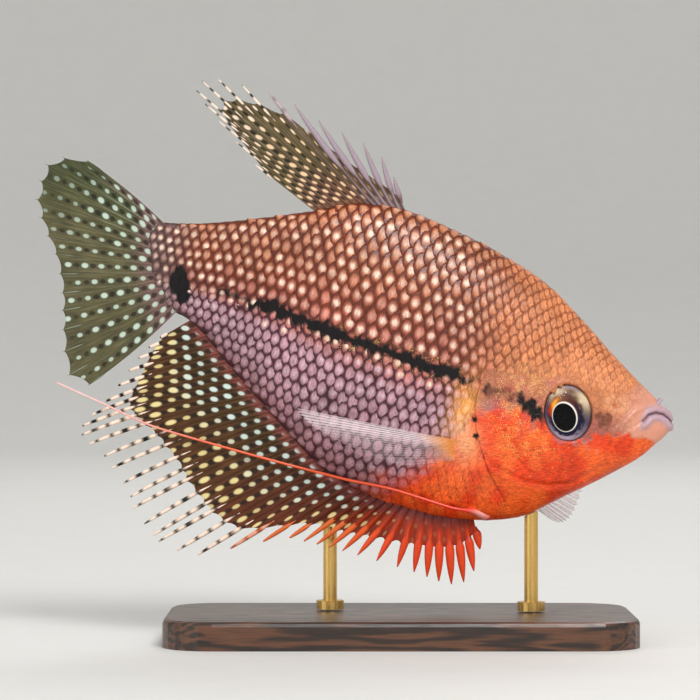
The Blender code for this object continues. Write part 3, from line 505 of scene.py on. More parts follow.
def make_damp_grain():
    """Fine uneven tone, sheen and relief of damp skin, about 0.2 mm across."""
    tree, given, out = group_tree(
        "Damp grain",
        [("Place", "NodeSocketVector", None), ("Size", "NodeSocketFloat", 0.3), ("Depth", "NodeSocketFloat", 0.5)],
        [("Tone", "NodeSocketFloat"), ("Sheen", "NodeSocketFloat"), ("Relief", "NodeSocketFloat")],
    )
    scale = sums(tree, "DIVIDE", 1.0 / MM, given["Size"])
    fine = node(tree, "ShaderNodeTexNoise", {"Vector": given["Place"], "Scale": scale, "Detail": 3.0}).outputs[0]
    broad = node(tree, "ShaderNodeTexNoise", {"Vector": given["Place"], "Scale": 420.0, "Detail": 2.0}).outputs[0]
    both = sums(tree, "ADD", sums(tree, "MULTIPLY", fine, 0.6), sums(tree, "MULTIPLY", broad, 0.4))
    swing = sums(tree, "MULTIPLY", sums(tree, "SUBTRACT", both, 0.5), given["Depth"])
    tree.links.new(sums(tree, "ADD", swing, 1.0), out["Tone"])
    tree.links.new(fade(tree, broad, 0.3, 0.7, 0.32, 0.5), out["Sheen"])
    tree.links.new(fine, out["Relief"])


def make_gold_flecks():
    """Small bright flecks that catch the light, thicker where Amount is high."""
    tree, given, out = group_tree(
        "Gold flecks",
        [("Place", "NodeSocketVector", None), ("Amount", "NodeSocketFloat", 0.0)],
        [("Fleck", "NodeSocketFloat")],
    )
    cells = node(tree, "ShaderNodeTexVoronoi", {"Vector": given["Place"], "Scale": 7600.0})
    chance = node(tree, "ShaderNodeSeparateColor", {0: cells.outputs["Color"]}).outputs[0]
    clump = node(tree, "ShaderNodeTexNoise", {"Vector": given["Place"], "Scale": 700.0, "Detail": 2.0}).outputs[0]
    share = sums(tree, "MULTIPLY", given["Amount"], fade(tree, clump, 0.4, 0.68))
    chosen = sums(tree, "GREATER_THAN", share, sums(tree, "MULTIPLY", chance, 0.95))
    core = fade(tree, cells.outputs["Distance"], 0.25, 0.6, 1.0, 0.0)
    tree.links.new(sums(tree, "MULTIPLY", chosen, core), out["Fleck"])


def make_spot_rows():
    """Rows of oval spots between a fin's rays, and of dark dashes between the spots.

    Place holds the ray number and the number of spots along it, Pitch the millimetres between rays there."""
    tree, given, out = group_tree(
        "Spot rows",
        [
            ("Place", "NodeSocketVector", None),
            ("Pitch", "NodeSocketFloat", 2.0),
            ("Period", "NodeSocketFloat", 3.0),
            ("Length", "NodeSocketFloat", 0.8),
            ("Width", "NodeSocketFloat", 0.5),
        ],
        [("Spot", "NodeSocketFloat"), ("Dash", "NodeSocketFloat"), ("Chance", "NodeSocketFloat")],
    )
    parts = node(tree, "ShaderNodeSeparateXYZ", {0: given["Place"]}).outputs
    row = sums(tree, "FLOOR", parts[0])
    across = sums(tree, "MULTIPLY", sums(tree, "SUBTRACT", sums(tree, "SUBTRACT", parts[0], row), 0.5), given["Pitch"])
    row_chance = node(tree, "ShaderNodeTexWhiteNoise", {"W": row}, noise_dimensions="1D").outputs["Value"]
    shift = sums(tree, "ADD", sums(tree, "MULTIPLY", row, 0.5), sums(tree, "MULTIPLY", row_chance, 0.3))
    steps = sums(tree, "ADD", parts[1], shift)
    cell = sums(tree, "FLOOR", steps)
    place = node(tree, "ShaderNodeCombineXYZ", {0: row, 1: cell}).outputs[0]
    chance = node(tree, "ShaderNodeTexWhiteNoise", {"Vector": place}, noise_dimensions="2D").outputs["Value"]
    size = fade(tree, chance, 0.0, 1.0, 0.84, 1.14)
    inside = sums(tree, "SUBTRACT", sums(tree, "SUBTRACT", steps, cell), 0.5)
    wide = sums(tree, "MULTIPLY", given["Width"], size)

    def oval(offset, length):
        a = sums(tree, "DIVIDE", across, wide)
        b = sums(tree, "DIVIDE", sums(tree, "MULTIPLY", offset, given["Period"]), length)
        far = sums(tree, "SQRT", sums(tree, "ADD", sums(tree, "MULTIPLY", a, a), sums(tree, "MULTIPLY", b, b)))
        return fade(tree, far, 0.6, 1.15, 1.0, 0.0)

    tree.links.new(oval(inside, sums(tree, "MULTIPLY", given["Length"], size)), out["Spot"])
    edge = sums(tree, "SUBTRACT", 0.5, sums(tree, "ABSOLUTE", inside))
    tree.links.new(oval(edge, given["Length"]), out["Dash"])
    tree.links.new(chance, out["Chance"])


GROUPS = {"Damp grain": make_damp_grain, "Gold flecks": make_gold_flecks, "Spot rows": make_spot_rows}


def new_material(name, **constants):
    """A material with its Principled shader, some sockets set to constants, and its tree."""
    material = bpy.data.materials.new(name)
    material.use_nodes = True
    tree = material.node_tree
    shader = tree.nodes["Principled BSDF"]
    for key, value in constants.items():
        shader.inputs[key.replace("_", " ").title().replace("Ior", "IOR")].default_value = value
    return material, tree, shader


def matt_black(tree, shader, ink):
    """Takes most of the wet coat off a material where the ink is."""
    coat = shader.inputs["Coat Weight"]
    wet = coat.default_value
    tree.links.new(sums(tree, "SUBTRACT", wet, sums(tree, "MULTIPLY", ink, wet * 0.85)), coat)


def relief(tree, shader, height, strength, distance):
    """Fine relief from a height, its depth in millimetres."""
    bump = node(tree, "ShaderNodeBump", {"Height": height, "Strength": strength, "Distance": distance * MM})
    tree.links.new(bump.outputs[0], shader.inputs["Normal"])


def object_place(tree):
    """Places on the object, for noise."""
    return node(tree, "ShaderNodeTexCoord").outputs["Object"]


def toned(tree, base, tone):
    """A colour made lighter or darker by a tone about 1."""
    grey = node(tree, "ShaderNodeCombineColor", {0: tone, 1: tone, 2: tone}).outputs[0]
    return mixed(tree, 1.0, base, grey, "MULTIPLY")


# ---- Skin ----


class GouramiSkin(PropertyGroup):
    rings: IntProperty(name="Rings", description="Rings of points along the head", default=96, min=20, max=200)
    around: IntProperty(name="Around", description="Points down each flank", default=161, min=21, max=300)
    sunk: FloatProperty(
        name="Under scales", description="Depth of the skin under the scales, in millimetres", default=0.2, min=0.0
    )
    flank_cream: colour_property("Upper flank", "Middle of a scale high on the flank", 178, 108, 76)
    flank_pink: colour_property("Mid flank", "Middle of a scale near the stripe", 180, 102, 88)
    flank_lilac: colour_property("Lower flank", "Middle of a scale under the stripe", 178, 136, 148)
    belly: colour_property("Belly", "Middle of a scale along the belly", 132, 80, 78)
    nape: colour_property("Nape", "Middle of a scale on nape and forehead", 210, 132, 88)
    tail_foot: colour_property("Tail foot", "Middle of a scale over the foot of the tail fin", 120, 92, 90)
    rim_upper: colour_property("Upper rims", "Rims of the scales of the upper flank", 104, 46, 28)
    rim_lower: colour_property("Lower rims", "Rims of the scales of the lower flank", 74, 36, 44)
    rim_nape: colour_property("Nape rims", "Rims of the scales of nape and forehead", 156, 84, 48)
    throat_red: colour_property("Throat red", "Deep orange red of throat and breast", 222, 46, 10)
    throat_orange: colour_property("Throat orange", "Lighter orange of throat and cheek", 250, 112, 44)
    cheek_rose: colour_property("Cheek rose", "Rose blotches of the cheek", 214, 44, 66)
    temple_pink: colour_property("Temple", "Pink blush behind the eye", 200, 112, 118)
    gill_yellow: colour_property("Gill yellow", "Yellow patch behind the gill", 248, 168, 84)
    fin_root: colour_property("Fin root", "Pale peach at the root of the side fin", 244, 176, 128)
    snout: colour_property("Snout", "Pinkish peach of the snout", 216, 148, 122)
    lips: colour_property("Lips", "Lilac grey of the lips", 178, 158, 176)
    # Painted shade: this dark stands for the shade in the lip groove and inside the nose tubes' openings
    hollow_shade: colour_property("Mouth line", "Dark line between the lips", 74, 40, 44)
    lore_brown: colour_property("Brown patch", "Patch between eye and mouth", 116, 62, 44)
    ink: colour_property("Black", "Black of the stripe and spots", 14, 10, 12)
    gold: colour_property("Gold", "Gold flecks of the cheek", 255, 214, 120)


def oval_place(back, z, oval):
    """(reach, angle) of places from an oval's middle: reach is 1 on the oval, angle 0 ahead and 90 degrees up.

    oval is (back, level, half length, half height, how far its top leans to the rear)."""
    middle_back, level, half_length, half_height, lean = oval
    ahead, up = middle_back - back, z - level
    along = (ahead * math.cos(lean) + up * math.sin(lean)) / half_length
    high = (up * math.cos(lean) - ahead * math.sin(lean)) / half_height
    return np.hypot(along, high), np.arctan2(high, along)


def oval_edge(angle, oval):
    """Points (back, z) on an oval, by its own angle."""
    middle_back, level, half_length, half_height, lean = oval
    along, high = np.cos(angle) * half_length, np.sin(angle) * half_height
    ahead = along * math.cos(lean) - high * math.sin(lean)
    return middle_back - ahead, level + along * math.sin(lean) + high * math.cos(lean)


def head_relief(back, z, station):
    """How far the skin of the head stands out from its plain form, by place on the side."""
    gape = off_line(GAPE, back, z, side_of_line=True)
    corner = 1 - ease(back, 4.6, 5.8)
    out = -0.5 * bell(gape, 0.17) * (1 - ease(back, 5.0, 5.9))
    out += corner * (0.34 * bell(gape - 0.55, 0.4) + 0.5 * bell(gape + 0.85, 0.6))
    jaw = off_line(JAW_EDGE, back, z, side_of_line=True)
    out += -0.12 * bell(jaw, 0.35) + 0.1 * bell(jaw + 0.6, 0.5)
    bone = off_line(CHEEK_BONE, back, z, side_of_line=True)
    out += 0.26 * bell(bone + 0.15, 0.5) - 0.14 * bell(bone - 0.75, 0.3)
    crease = off_line(GILL_CREASE, back, z, side_of_line=True)
    out += -0.16 * bell(crease, 0.4) + 0.1 * bell(crease - 0.9, 0.7) + 0.08 * bell(crease + 0.9, 0.6)
    pit = np.hypot(back - 11.0, z + 0.3)
    out += -0.5 * bell(pit, 0.34) + 0.12 * bell(pit - 0.65, 0.25)
    reach, _ = oval_place(back, z, EYE)
    out += -2.4 * (1 - ease(reach, 0.9, 1.01)) + 0.16 * bell(reach - 1.08, 0.06)
    preopercle = np.hypot((back - 19.5) / 1.05, (z + 6.0) / 1.25)
    behind = ease(back, 19, 24) * (1 - ease(z, -3, 3)) * (1 - ease(back, 30, 33))
    out += behind * (0.13 * bell(preopercle - 7.4, 0.7) - 0.16 * bell(preopercle - 8.5, 0.35))
    root = np.hypot((back - 34.9) / 1.5, (z + 15.7) / 3.0)
    out += 0.55 * bell(root, 1.0) * ease(station, GILL_BACK - 0.2, GILL_BACK + 0.4)
    out += 0.35 * bell(np.hypot((back - 27.5) / 2.2, (z + 25.5) / 1.6), 1.0)
    return out


def scaled(back, z, station):
    """1 where scales cover the skin: behind the gill, and over brow and nape."""
    behind = ease(station, GILL_BACK + 0.1, GILL_BACK + 0.5)
    brow = ease(z - through(SCALED_BROW, 1, back), 0.0, 4.0) * ease(oval_place(back, z, EYE)[0], 1.05, 1.4)
    return np.maximum(behind, brow)


def skin_points(look):
    """Grids of back, y and z on the right flank, ring by ring from snout to tail, with each ring's share along."""
    head = 12.0 * np.linspace(0, 1, look.rings) ** 1.4
    cheek = np.linspace(12.0, GILL_BACK - 0.06, 96)[1:]
    gill = GILL_BACK + np.array([0.0, 0.07, 0.16, 0.32])
    rest = np.linspace(GILL_BACK + 0.6, FLESH_END, 160)
    stations = np.concatenate([head, cheek, gill, rest])
    turns = np.linspace(0, math.pi, look.around)
    station, turn = np.meshgrid(stations, turns, indexing="ij")
    back, sunk = station.copy(), np.zeros_like(station)
    for _ in range(26):
        _, z = section(back, turn, -sunk)
        back = back + 0.5 * (ring_back(station, z) - back)
        sunk = look.sunk * scaled(back, z, station)
    y, z = section(back, turn, -sunk)
    y = y * tail_thin(station)
    cover = ease(z, GILL_COVER_FOOT, GILL_COVER_FOOT + 8) * (1 - ease(z, GILL_COVER_TOP - 8, GILL_COVER_TOP))
    flare = cover * ease(station, GILL_BACK - GILL_FLARE_LENGTH, GILL_BACK) * (station < GILL_BACK + 0.05)
    y = y + GILL_FLARE * flare - 0.25 * cover * bell(station - GILL_BACK - 0.16, 0.16) * (station > GILL_BACK + 0.05)
    return back, y, z, station


def outward(points):
    """Unit normals of a grid of points, pointing away from the fish's middle plane."""
    normal = np.cross(np.gradient(points, axis=0), np.gradient(points, axis=1))
    normal /= np.maximum(np.linalg.norm(normal, axis=-1, keepdims=True), 1e-9)
    return normal * np.where(normal[..., 1:2] * np.sign(points[..., 1:2].mean()) < 0, -1.0, 1.0)


def skin_material(look):
    """Damp skin: streaks on the red, cells like small scales, gold flecks and the black marks."""
    wet = {"specular_ior_level": 0.22, "coat_weight": 0.18, "coat_roughness": 0.12}
    material, tree, shader = new_material("head_and_body_skin", **wet)
    place_in = object_place(tree)
    grain = use_group(tree, "Damp grain", Place=place_in, Size=0.34, Depth=0.45)
    tint = toned(tree, read(tree, "tint"), grain["Tone"])
    slant = {0: place_in, "Rotation": (0.0, 0.95, 0.0), "Scale": (0.4, 1.0, 1.7)}
    streak_place = node(tree, "ShaderNodeMapping", slant)
    streaks = node(tree, "ShaderNodeTexNoise", {"Vector": streak_place.outputs[0], "Scale": 2600.0, "Detail": 2.0})
    streaked = toned(tree, tint, fade(tree, streaks.outputs[0], 0.3, 0.7, 0.74, 1.25))
    tint = mixed(tree, read(tree, "streaked", "Fac"), tint, streaked)
    wavy = node(tree, "ShaderNodeTexNoise", {"Vector": place_in, "Scale": 900.0, "Detail": 1.0}).outputs["Color"]
    bent = node(tree, "ShaderNodeMix", {0: 0.0009, 4: place_in, 5: wavy}, data_type="VECTOR").outputs[1]
    cells = node(tree, "ShaderNodeTexVoronoi", {"Vector": bent, "Scale": 820.0}, feature="DISTANCE_TO_EDGE").outputs[0]
    line = sums(tree, "MULTIPLY", fade(tree, cells, 0.02, 0.13, 1.0, 0.0), read(tree, "cells", "Fac"))
    tint = toned(tree, tint, sums(tree, "SUBTRACT", 1.0, sums(tree, "MULTIPLY", line, 0.22)))
    fleck = use_group(tree, "Gold flecks", Place=place_in, Amount=read(tree, "gold", "Fac"))["Fleck"]
    tint = mixed(tree, sums(tree, "MULTIPLY", fleck, 0.8), tint, tuple(look.gold))
    ink = read(tree, "ink", "Fac")
    tint = mixed(tree, ink, tint, tuple(look.ink))
    matt_black(tree, shader, ink)
    tree.links.new(tint, shader.inputs["Base Color"])
    tree.links.new(grain["Sheen"], shader.inputs["Roughness"])
    height = sums(tree, "SUBTRACT", sums(tree, "MULTIPLY", grain["Relief"], 0.5), line)
    relief(tree, shader, height, 0.4, 0.12)
    return material


class GOURAMI_OT_skin(Operator):
    """One closed skin over head, jaw, trunk and tail, with lips, nostrils, eye rims and gill cover"""

    bl_idname = "gourami.skin"
    bl_label = "Skin"

    def execute(self, context):
        look = context.scene.gourami_skin
        back, y, z, station = skin_points(look)
        half = np.stack([back, y, z], axis=-1)
        normal = outward(half)
        normal[:, (0, -1), 1] = 0.0
        normal /= np.linalg.norm(normal, axis=-1, keepdims=True)
        half = half + normal * head_relief(back, z, station)[..., None]
        half[:, (0, -1), 1] = 0.0
        half[..., 1] = np.maximum(half[..., 1], 0.0)
        right = half * np.array([1.0, -1.0, 1.0])
        whole = np.concatenate([right, half[:, -2:0:-1]], axis=1)
        # Both ends close over three smaller rings.
        rings = [whole]
        for end, push in ((0, -0.3), (-1, 0.3)):
            middle = whole[end].mean(axis=0)
            shrunk = [middle + (whole[end] - middle) * q + [push * (1 - q * q), 0, 0] for q in (0.72, 0.4, 0.02)]
            rings = [np.array(shrunk[::-1])] + rings if end == 0 else rings + [np.array(shrunk)]
        whole = np.concatenate(rings)
        rows, columns = whole.shape[:2]
        faces = [tuple(q) for q in grid_faces(rows, columns, around=True)[:, ::-1]]
        faces += [tuple(range(columns)), tuple(range(rows * columns - 1, (rows - 1) * columns - 1, -1))]
        b, level = whole[..., 0], whole[..., 2]
        ring_station = station_of(b, level)
        covered = scaled(b, level, ring_station)
        middle, rim, _ = flesh(b, level, look)
        tint = blend(face_colour(b, level, look), middle * 0.45 + rim * 0.55, covered)
        maps = np.stack(np.meshgrid(np.linspace(0.01, 0.99, rows), np.linspace(0.01, 0.99, columns), indexing="ij"), -1)
        snout = 1 - ease(np.hypot(b, level + 1.0), 6.0, 9.0)
        values = {
            "gold": gold_at(b, level) * (1 - covered),
            "ink": ink_at(b, level),
            "streaked": redness(b, level),
            "cells": (1 - snout) * (1 - 0.6 * redness(b, level)),
        }
        material = skin_material(look)
        piece = mesh_piece("skin", place(whole), faces, material, {"tint": tint}, values, {"OFBake": maps})
        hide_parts("head", "lower_jaw", "trunk", "tail")
        return {"FINISHED"}


# ---- Scales ----


class GouramiScales(PropertyGroup):
    facets: IntProperty(name="Facets", description="Facets along and across each scale", default=10, min=4, max=20)
    lift: FloatProperty(
        name="Rear lift", description="How far a scale's rear edge stands off the skin, in millimetres", default=0.14
    )
    edge: FloatProperty(name="Edge", description="Depth of a scale's rim, in millimetres", default=0.14, min=0.02)
    length: FloatProperty(name="Length", description="Scale length as a multiple of its spacing", default=1.75, min=1.0)
    bright_share: FloatProperty(
        name="Bright pearls", description="Share of the scales with a bright pearl", default=0.4, min=0.0, max=1.0
    )
    pearl_height: FloatProperty(name="Pearl height", description="Swell of a pearl, in millimetres", default=0.05)
    pearl: colour_property("Pearl", "Brightest pearls", 238, 212, 190)
    pearl_low: colour_property("Dim pearl", "Pearls under the stripe", 206, 178, 190)


# Spacing of the scales in millimetres: back, along a row, from row to row
SCALE_SPACING = (
    (0.0, 1.5, 1.45), (8.0, 1.5, 1.5), (15.0, 1.6, 1.6), (23.0, 1.65, 1.75), (36.0, 1.8, 2.1), (44.0, 2.15, 2.55),
    (57.0, 2.3, 2.7), (65.0, 2.15, 2.6), (75.0, 1.95, 2.38), (84.0, 1.9, 2.2), (94.0, 1.6, 1.9), (100.0, 1.5, 1.8),
)
LOWER_FINER = 0.84  # how much finer the scales are below the stripe
SITE_SHARE = 0.68  # where along a scale its own place in the pattern lies
PEARL_SHARE = 0.72  # where along a scale its pearl lies
FULL_SPACING = 2.6  # row spacing of the largest scales, for which the relief is set
EYE_CLEAR = 1.38  # how far from the middle of the eye scales begin, as a share of its oval
FLANK_LENGTH, FLANK_HEIGHT = 104.0, 36.0  # reach of the unwrapped flank, and up and down from the stripe
PATCH_LENGTH, PATCH_HEIGHT = 0.0076, 0.005  # a scale's patch of the bake map, per millimetre of its spacing


class Flank:
    """The right side of the body as a sheet, by back and by distance up or down it from the stripe."""

    def __init__(self):
        self.back = np.linspace(0.5, FLANK_LENGTH, 415)
        self.arc = np.linspace(-FLANK_HEIGHT, FLANK_HEIGHT, 577)
        turns = np.linspace(0.0, math.pi, 400)
        points = np.empty((len(self.back), len(self.arc), 3))
        self.low, self.high = np.empty(len(self.back)), np.empty(len(self.back))
        for k, back in enumerate(self.back):
            y, z = section(np.full_like(turns, back), turns, 0.0)
            run = np.concatenate([[0.0], np.cumsum(np.hypot(np.diff(y), np.diff(z)))])
            start = np.interp(-float(through(STRIPE, 1, back)), -z, run)
            at = start - self.arc
            points[k] = np.stack([np.full_like(at, back), -np.interp(at, run, y), np.interp(at, run, z)], axis=-1)
            self.low[k], self.high[k] = start - run[-1], start
        points[..., 1] *= tail_thin(station_of(points[..., 0], points[..., 2]))
        self.points = points
        self.normals = outward(points)

    def limits(self, back):
        """Distances from the stripe to the underside, negative, and to the top line."""
        return np.interp(back, self.back, self.low), np.interp(back, self.back, self.high)

    def at(self, back, arc):
        """Points and outward normals at places on the sheet."""
        u = np.clip((back - self.back[0]) / (self.back[1] - self.back[0]), 0, len(self.back) - 1.001)
        v = np.clip((arc - self.arc[0]) / (self.arc[1] - self.arc[0]), 0, len(self.arc) - 1.001)
        i, j = u.astype(int), v.astype(int)
        a, b = (u - i)[..., None], (v - j)[..., None]

        def read_grid(grid):
            front = grid[i, j] * (1 - b) + grid[i, j + 1] * b
            return front * (1 - a) + (grid[i + 1, j] * (1 - b) + grid[i + 1, j + 1] * b) * a

        return read_grid(self.points), read_grid(self.normals)


def scale_sites(flank):
    """Places and sizes of the scales: back, distance from the stripe, pitch along the row, spacing of the rows.

    Rows lie beside the stripe, each shifted half a step from the next, and are finer below it."""
    backs = np.linspace(0.5, 103.0, 2000)
    rng = np.random.default_rng(5)
    sites = []
    for row in range(-28, 23):
        finer = LOWER_FINER if row < 0 else 1.0
        along = through(SCALE_SPACING, 1, backs) * finer
        steps = np.concatenate([[0.0], np.cumsum(np.diff(backs) / along[1:])])
        for count in range(int(steps[-1])):
            back = float(np.interp(count + 0.5 * (row % 2), steps, backs))
            spacing = float(through(SCALE_SPACING, 2, back)) * finer
            arc = (row + 0.5 * (row < 0)) * (1 - 0.011 * max(row, 0)) * spacing
            low, high = flank.limits(back)
            if low + 0.3 * spacing < arc < high - 0.12 * spacing:
                pitch = float(np.interp(back, backs, along))
                uneven = rng.uniform(-0.1, 0.1, 2)
                sites.append((back + uneven[0] * pitch, arc + uneven[1] * spacing, pitch, spacing))
    sites = np.array(sites)
    points, _ = flank.at(sites[:, 0], sites[:, 1])
    back, z = points[:, 0], points[:, 2]
    station = station_of(back, z)
    behind = (station > GILL_BACK + 0.5) & (station < FLESH_END - 0.1)
    brow = (z > through(SCALED_BROW, 1, back) + 0.2) & (back > 8.0) & (station < GILL_BACK + 1.0)
    brow &= oval_place(back, z, EYE)[0] > EYE_CLEAR
    return sites[behind | brow]


def scale_coat(name, side, flank, sites, look, coat, material):
    """One mesh of all the scales of a side, each a curved leaf with a turned-down rim."""
    n = coat.facets
    along = np.concatenate([np.linspace(0.0, 1.0, n), [1.0]])
    across = np.concatenate([[-1.0], np.linspace(-1.0, 1.0, n), [1.0]])
    a, b = np.meshgrid(along, across, indexing="ij")
    skirt = np.zeros_like(a)
    skirt[-1], skirt[:, 0], skirt[:, -1] = 1.0, 1.0, 1.0
    wide = np.sqrt(1 - 0.94 * np.clip((a - 0.42) / 0.58, 0, 1) ** 2)
    place_back, place_arc = sites[:, 0, None, None], sites[:, 1, None, None]
    pitch, spacing = sites[:, 2, None, None], sites[:, 3, None, None]
    size = spacing / FULL_SPACING
    rng = np.random.default_rng(8 + side)
    chance = rng.random((len(sites), 4))
    tilt = (chance[:, 0, None, None] - 0.5) * 0.3
    ahead = (a - SITE_SHARE) * coat.length * pitch
    sideways = b * wide
    low, high = flank.limits(place_back + ahead)
    reach = 1.06 * spacing
    room = np.where(sideways > 0, high - place_arc, place_arc - low) * 0.97
    arc = place_arc + sideways * np.minimum(reach, room) + tilt * ahead * 0.5
    back = place_back + ahead
    points, normals = flank.at(back, arc)
    z = points[..., 2]
    pearl_reach = np.hypot((a - PEARL_SHARE) / 0.19, sideways / 0.3)
    swell = coat.pearl_height * bell(pearl_reach, 0.9)
    brow_edge = through(SCALED_BROW, 1, np.minimum(back, 36.0))
    near = np.maximum(1 - ease(z - brow_edge, 0.5, 6.0), 1 - ease(back, 9.0, 17.0))
    flat = (1 - 0.85 * near * (1 - ease(back, 31.0, 35.0))) * (1 - 0.3 * redness(back, z))
    out = (-0.14 + (coat.lift + 0.14) * a - 0.1 * sideways**2 + swell) * size * flat
    out = out - coat.edge * skirt * np.sqrt(size)
    points = points + normals * out[..., None]
    if side > 0:
        points = points * np.array([1.0, -1.0, 1.0])
    middle, rim, pearl = flesh(back, z, look)
    rim = blend(middle * 0.9, rim, flat)
    tone = 0.88 + 0.24 * chance[:, 1, None, None]
    bright = np.where(chance[:, 2] < coat.bright_share, 0.75 + 0.25 * chance[:, 3], 0.12 + 0.45 * chance[:, 3])
    place_level = flank.at(place_back, place_arc)[0][..., 2]
    own_ink = ink_at(place_back, place_level)
    ink = ease(0.75 * ink_at(back, z) + 0.25 * own_ink + 0.2 * (chance[:, 0, None, None] - 0.5), 0.3, 0.6)
    on_stripe = own_ink > 0.8
    from_stripe = np.abs(place_level - through(STRIPE, 1, place_back))
    beside = (from_stripe < 3.2) & (place_back > 42) & (place_back < 76) & (chance[:, 3, None, None] > 0.45)
    pearl = np.where(beside, 0.95, pearl * bright[:, None, None]) * np.where(on_stripe, 0.0, 1.0)
    low_side = ease(through(STRIPE, 1, back) - z, 0.0, 4.0)
    pearl_tint = blend(coat.pearl, coat.pearl_low, low_side * (1 - beside))
    along_map = place_back / FLANK_LENGTH + (a - 0.5 + 0.02 * skirt * (a == 1)) * PATCH_LENGTH * pitch
    up_map = (place_arc + FLANK_HEIGHT) / (2 * FLANK_HEIGHT) + (b * (1 + 0.1 * skirt)) * PATCH_HEIGHT * spacing
    patch = np.stack([np.clip(along_map, 0, 1), np.clip(up_map, 0, 1)], axis=-1)
    rows, columns = a.shape
    one = np.delete(grid_faces(rows, columns), [-(columns - 1), -1], axis=0)  # the rim's rear corners have no size
    faces = (one[None] + (np.arange(len(sites)) * rows * columns)[:, None, None]).reshape(-1, 4)
    if side > 0:
        faces = faces[:, ::-1]
    face = np.stack(np.broadcast_arrays(a, sideways), axis=-1) + np.zeros_like(arc)[..., None]
    open_face = np.maximum(ease(through(STRIPE, 1, back) - z, 0.0, 2.5), 1 - ease(back, 26, 42))
    mesh_piece(
        name,
        place(points),
        faces,
        material,
        {"tint": middle * tone[..., None], "rim_tint": rim * tone[..., None], "pearl_tint": pearl_tint},
        {
            "pearl": pearl,
            "ink": ink,
            "gold": gold_at(back, z) * (1 - redness(back, z)),
            "open": np.maximum(open_face, 1 - flat),
        },
        {"scale_face": face, "OFBake": patch},
    )


def scale_material(look):
    """Scales: a dark rim round a paler middle, a pearl in it, fine growth lines and the shared black and gold."""
    material, tree, shader = new_material("scales", specular_ior_level=0.22, coat_weight=0.18, coat_roughness=0.14)
    place_in = object_place(tree)
    grain = use_group(tree, "Damp grain", Place=place_in, Size=0.18, Depth=0.6)
    face = node(tree, "ShaderNodeSeparateXYZ", {0: mapped(tree, "scale_face")}).outputs
    along = sums(tree, "DIVIDE", sums(tree, "SUBTRACT", face[0], PEARL_SHARE), 0.19)
    across = sums(tree, "DIVIDE", face[1], 0.38)
    squares = sums(tree, "ADD", sums(tree, "MULTIPLY", along, along), sums(tree, "MULTIPLY", across, across))
    rounder = sums(tree, "ADD", squares, sums(tree, "MULTIPLY", sums(tree, "MULTIPLY", across, across), 0.7))
    wander = sums(tree, "MULTIPLY", sums(tree, "SUBTRACT", grain["Tone"], 1.0), 1.4)
    far, pearl_far = (sums(tree, "ADD", sums(tree, "SQRT", size), wander) for size in (squares, rounder))
    closer = sums(tree, "SUBTRACT", far, sums(tree, "MULTIPLY", read(tree, "open", "Fac"), 0.18))
    middle = fade(tree, closer, 0.7, 1.45, 1.0, 0.0)
    tint = mixed(tree, middle, read(tree, "rim_tint"), read(tree, "tint"))
    pearl = sums(tree, "MULTIPLY", fade(tree, pearl_far, 0.3, 1.12, 1.0, 0.0), read(tree, "pearl", "Fac"))
    tint = mixed(tree, pearl, tint, read(tree, "pearl_tint"))
    upright = {0: place_in, "Rotation": (0.0, NOSE_DOWN, 0.0), "Scale": (1.0, 1.0, 3.5)}
    upright = node(tree, "ShaderNodeMapping", upright, vector_type="TEXTURE").outputs[0]
    streaks = node(tree, "ShaderNodeTexNoise", {"Vector": upright, "Scale": 3600.0, "Detail": 2.0}).outputs[0]
    tint = toned(tree, tint, sums(tree, "MULTIPLY", grain["Tone"], fade(tree, streaks, 0.3, 0.7, 0.74, 1.24)))
    fleck = use_group(tree, "Gold flecks", Place=place_in, Amount=read(tree, "gold", "Fac"))["Fleck"]
    tint = mixed(tree, sums(tree, "MULTIPLY", fleck, 0.75), tint, tuple(look.gold))
    black = sums(tree, "MULTIPLY", read(tree, "ink", "Fac"), sums(tree, "SUBTRACT", 1.0, pearl, clamp=True))
    tint = mixed(tree, black, tint, tuple(look.ink))
    matt_black(tree, shader, black)
    tree.links.new(tint, shader.inputs["Base Color"])
    tree.links.new(grain["Sheen"], shader.inputs["Roughness"])
    lines = sums(tree, "SINE", sums(tree, "MULTIPLY", face[0], 95.0))
    height = sums(tree, "ADD", sums(tree, "MULTIPLY", lines, 0.18), grain["Relief"])
    relief(tree, shader, height, 0.3, 0.05)
    return material


class GOURAMI_OT_scales(Operator):
    """The scales of both flanks, nape and brow, with their pearls"""

    bl_idname = "gourami.scales"
    bl_label = "Scales"

    def execute(self, context):
        look, coat = context.scene.gourami_skin, context.scene.gourami_scales
        flank = Flank()
        sites = scale_sites(flank)
        material = scale_material(look)
        for name, side in (("scales_right", -1), ("scales_left", 1)):
            scale_coat(name, side, flank, sites, look, coat, material)
        return {"FINISHED"}


# ---- Eyes ----


class GouramiEyes(PropertyGroup):
    bulge: FloatProperty(name="Bulge", description="How far an eye stands off the head, in millimetres", default=1.35)
    pupil: colour_property("Pupil", "The pupil", 4, 4, 6)
    ring: colour_property("Pupil ring", "Bright ring round the pupil", 244, 236, 226)
    orange: colour_property("Orange", "Orange patch above and behind the pupil", 255, 160, 40)
    gold: colour_property("Gold", "Gold and cream at the top of the iris", 232, 208, 172)
    silver: colour_property("Silver", "Lilac silver at the foot of the iris", 176, 160, 178)
    navy: colour_property("Navy", "Dark blue at the iris's sides", 22, 20, 48)
    brown: colour_property("Brown", "Brown above the pupil", 92, 50, 36)
    rim: colour_property("Rim", "Dark line round the eye", 66, 44, 46)


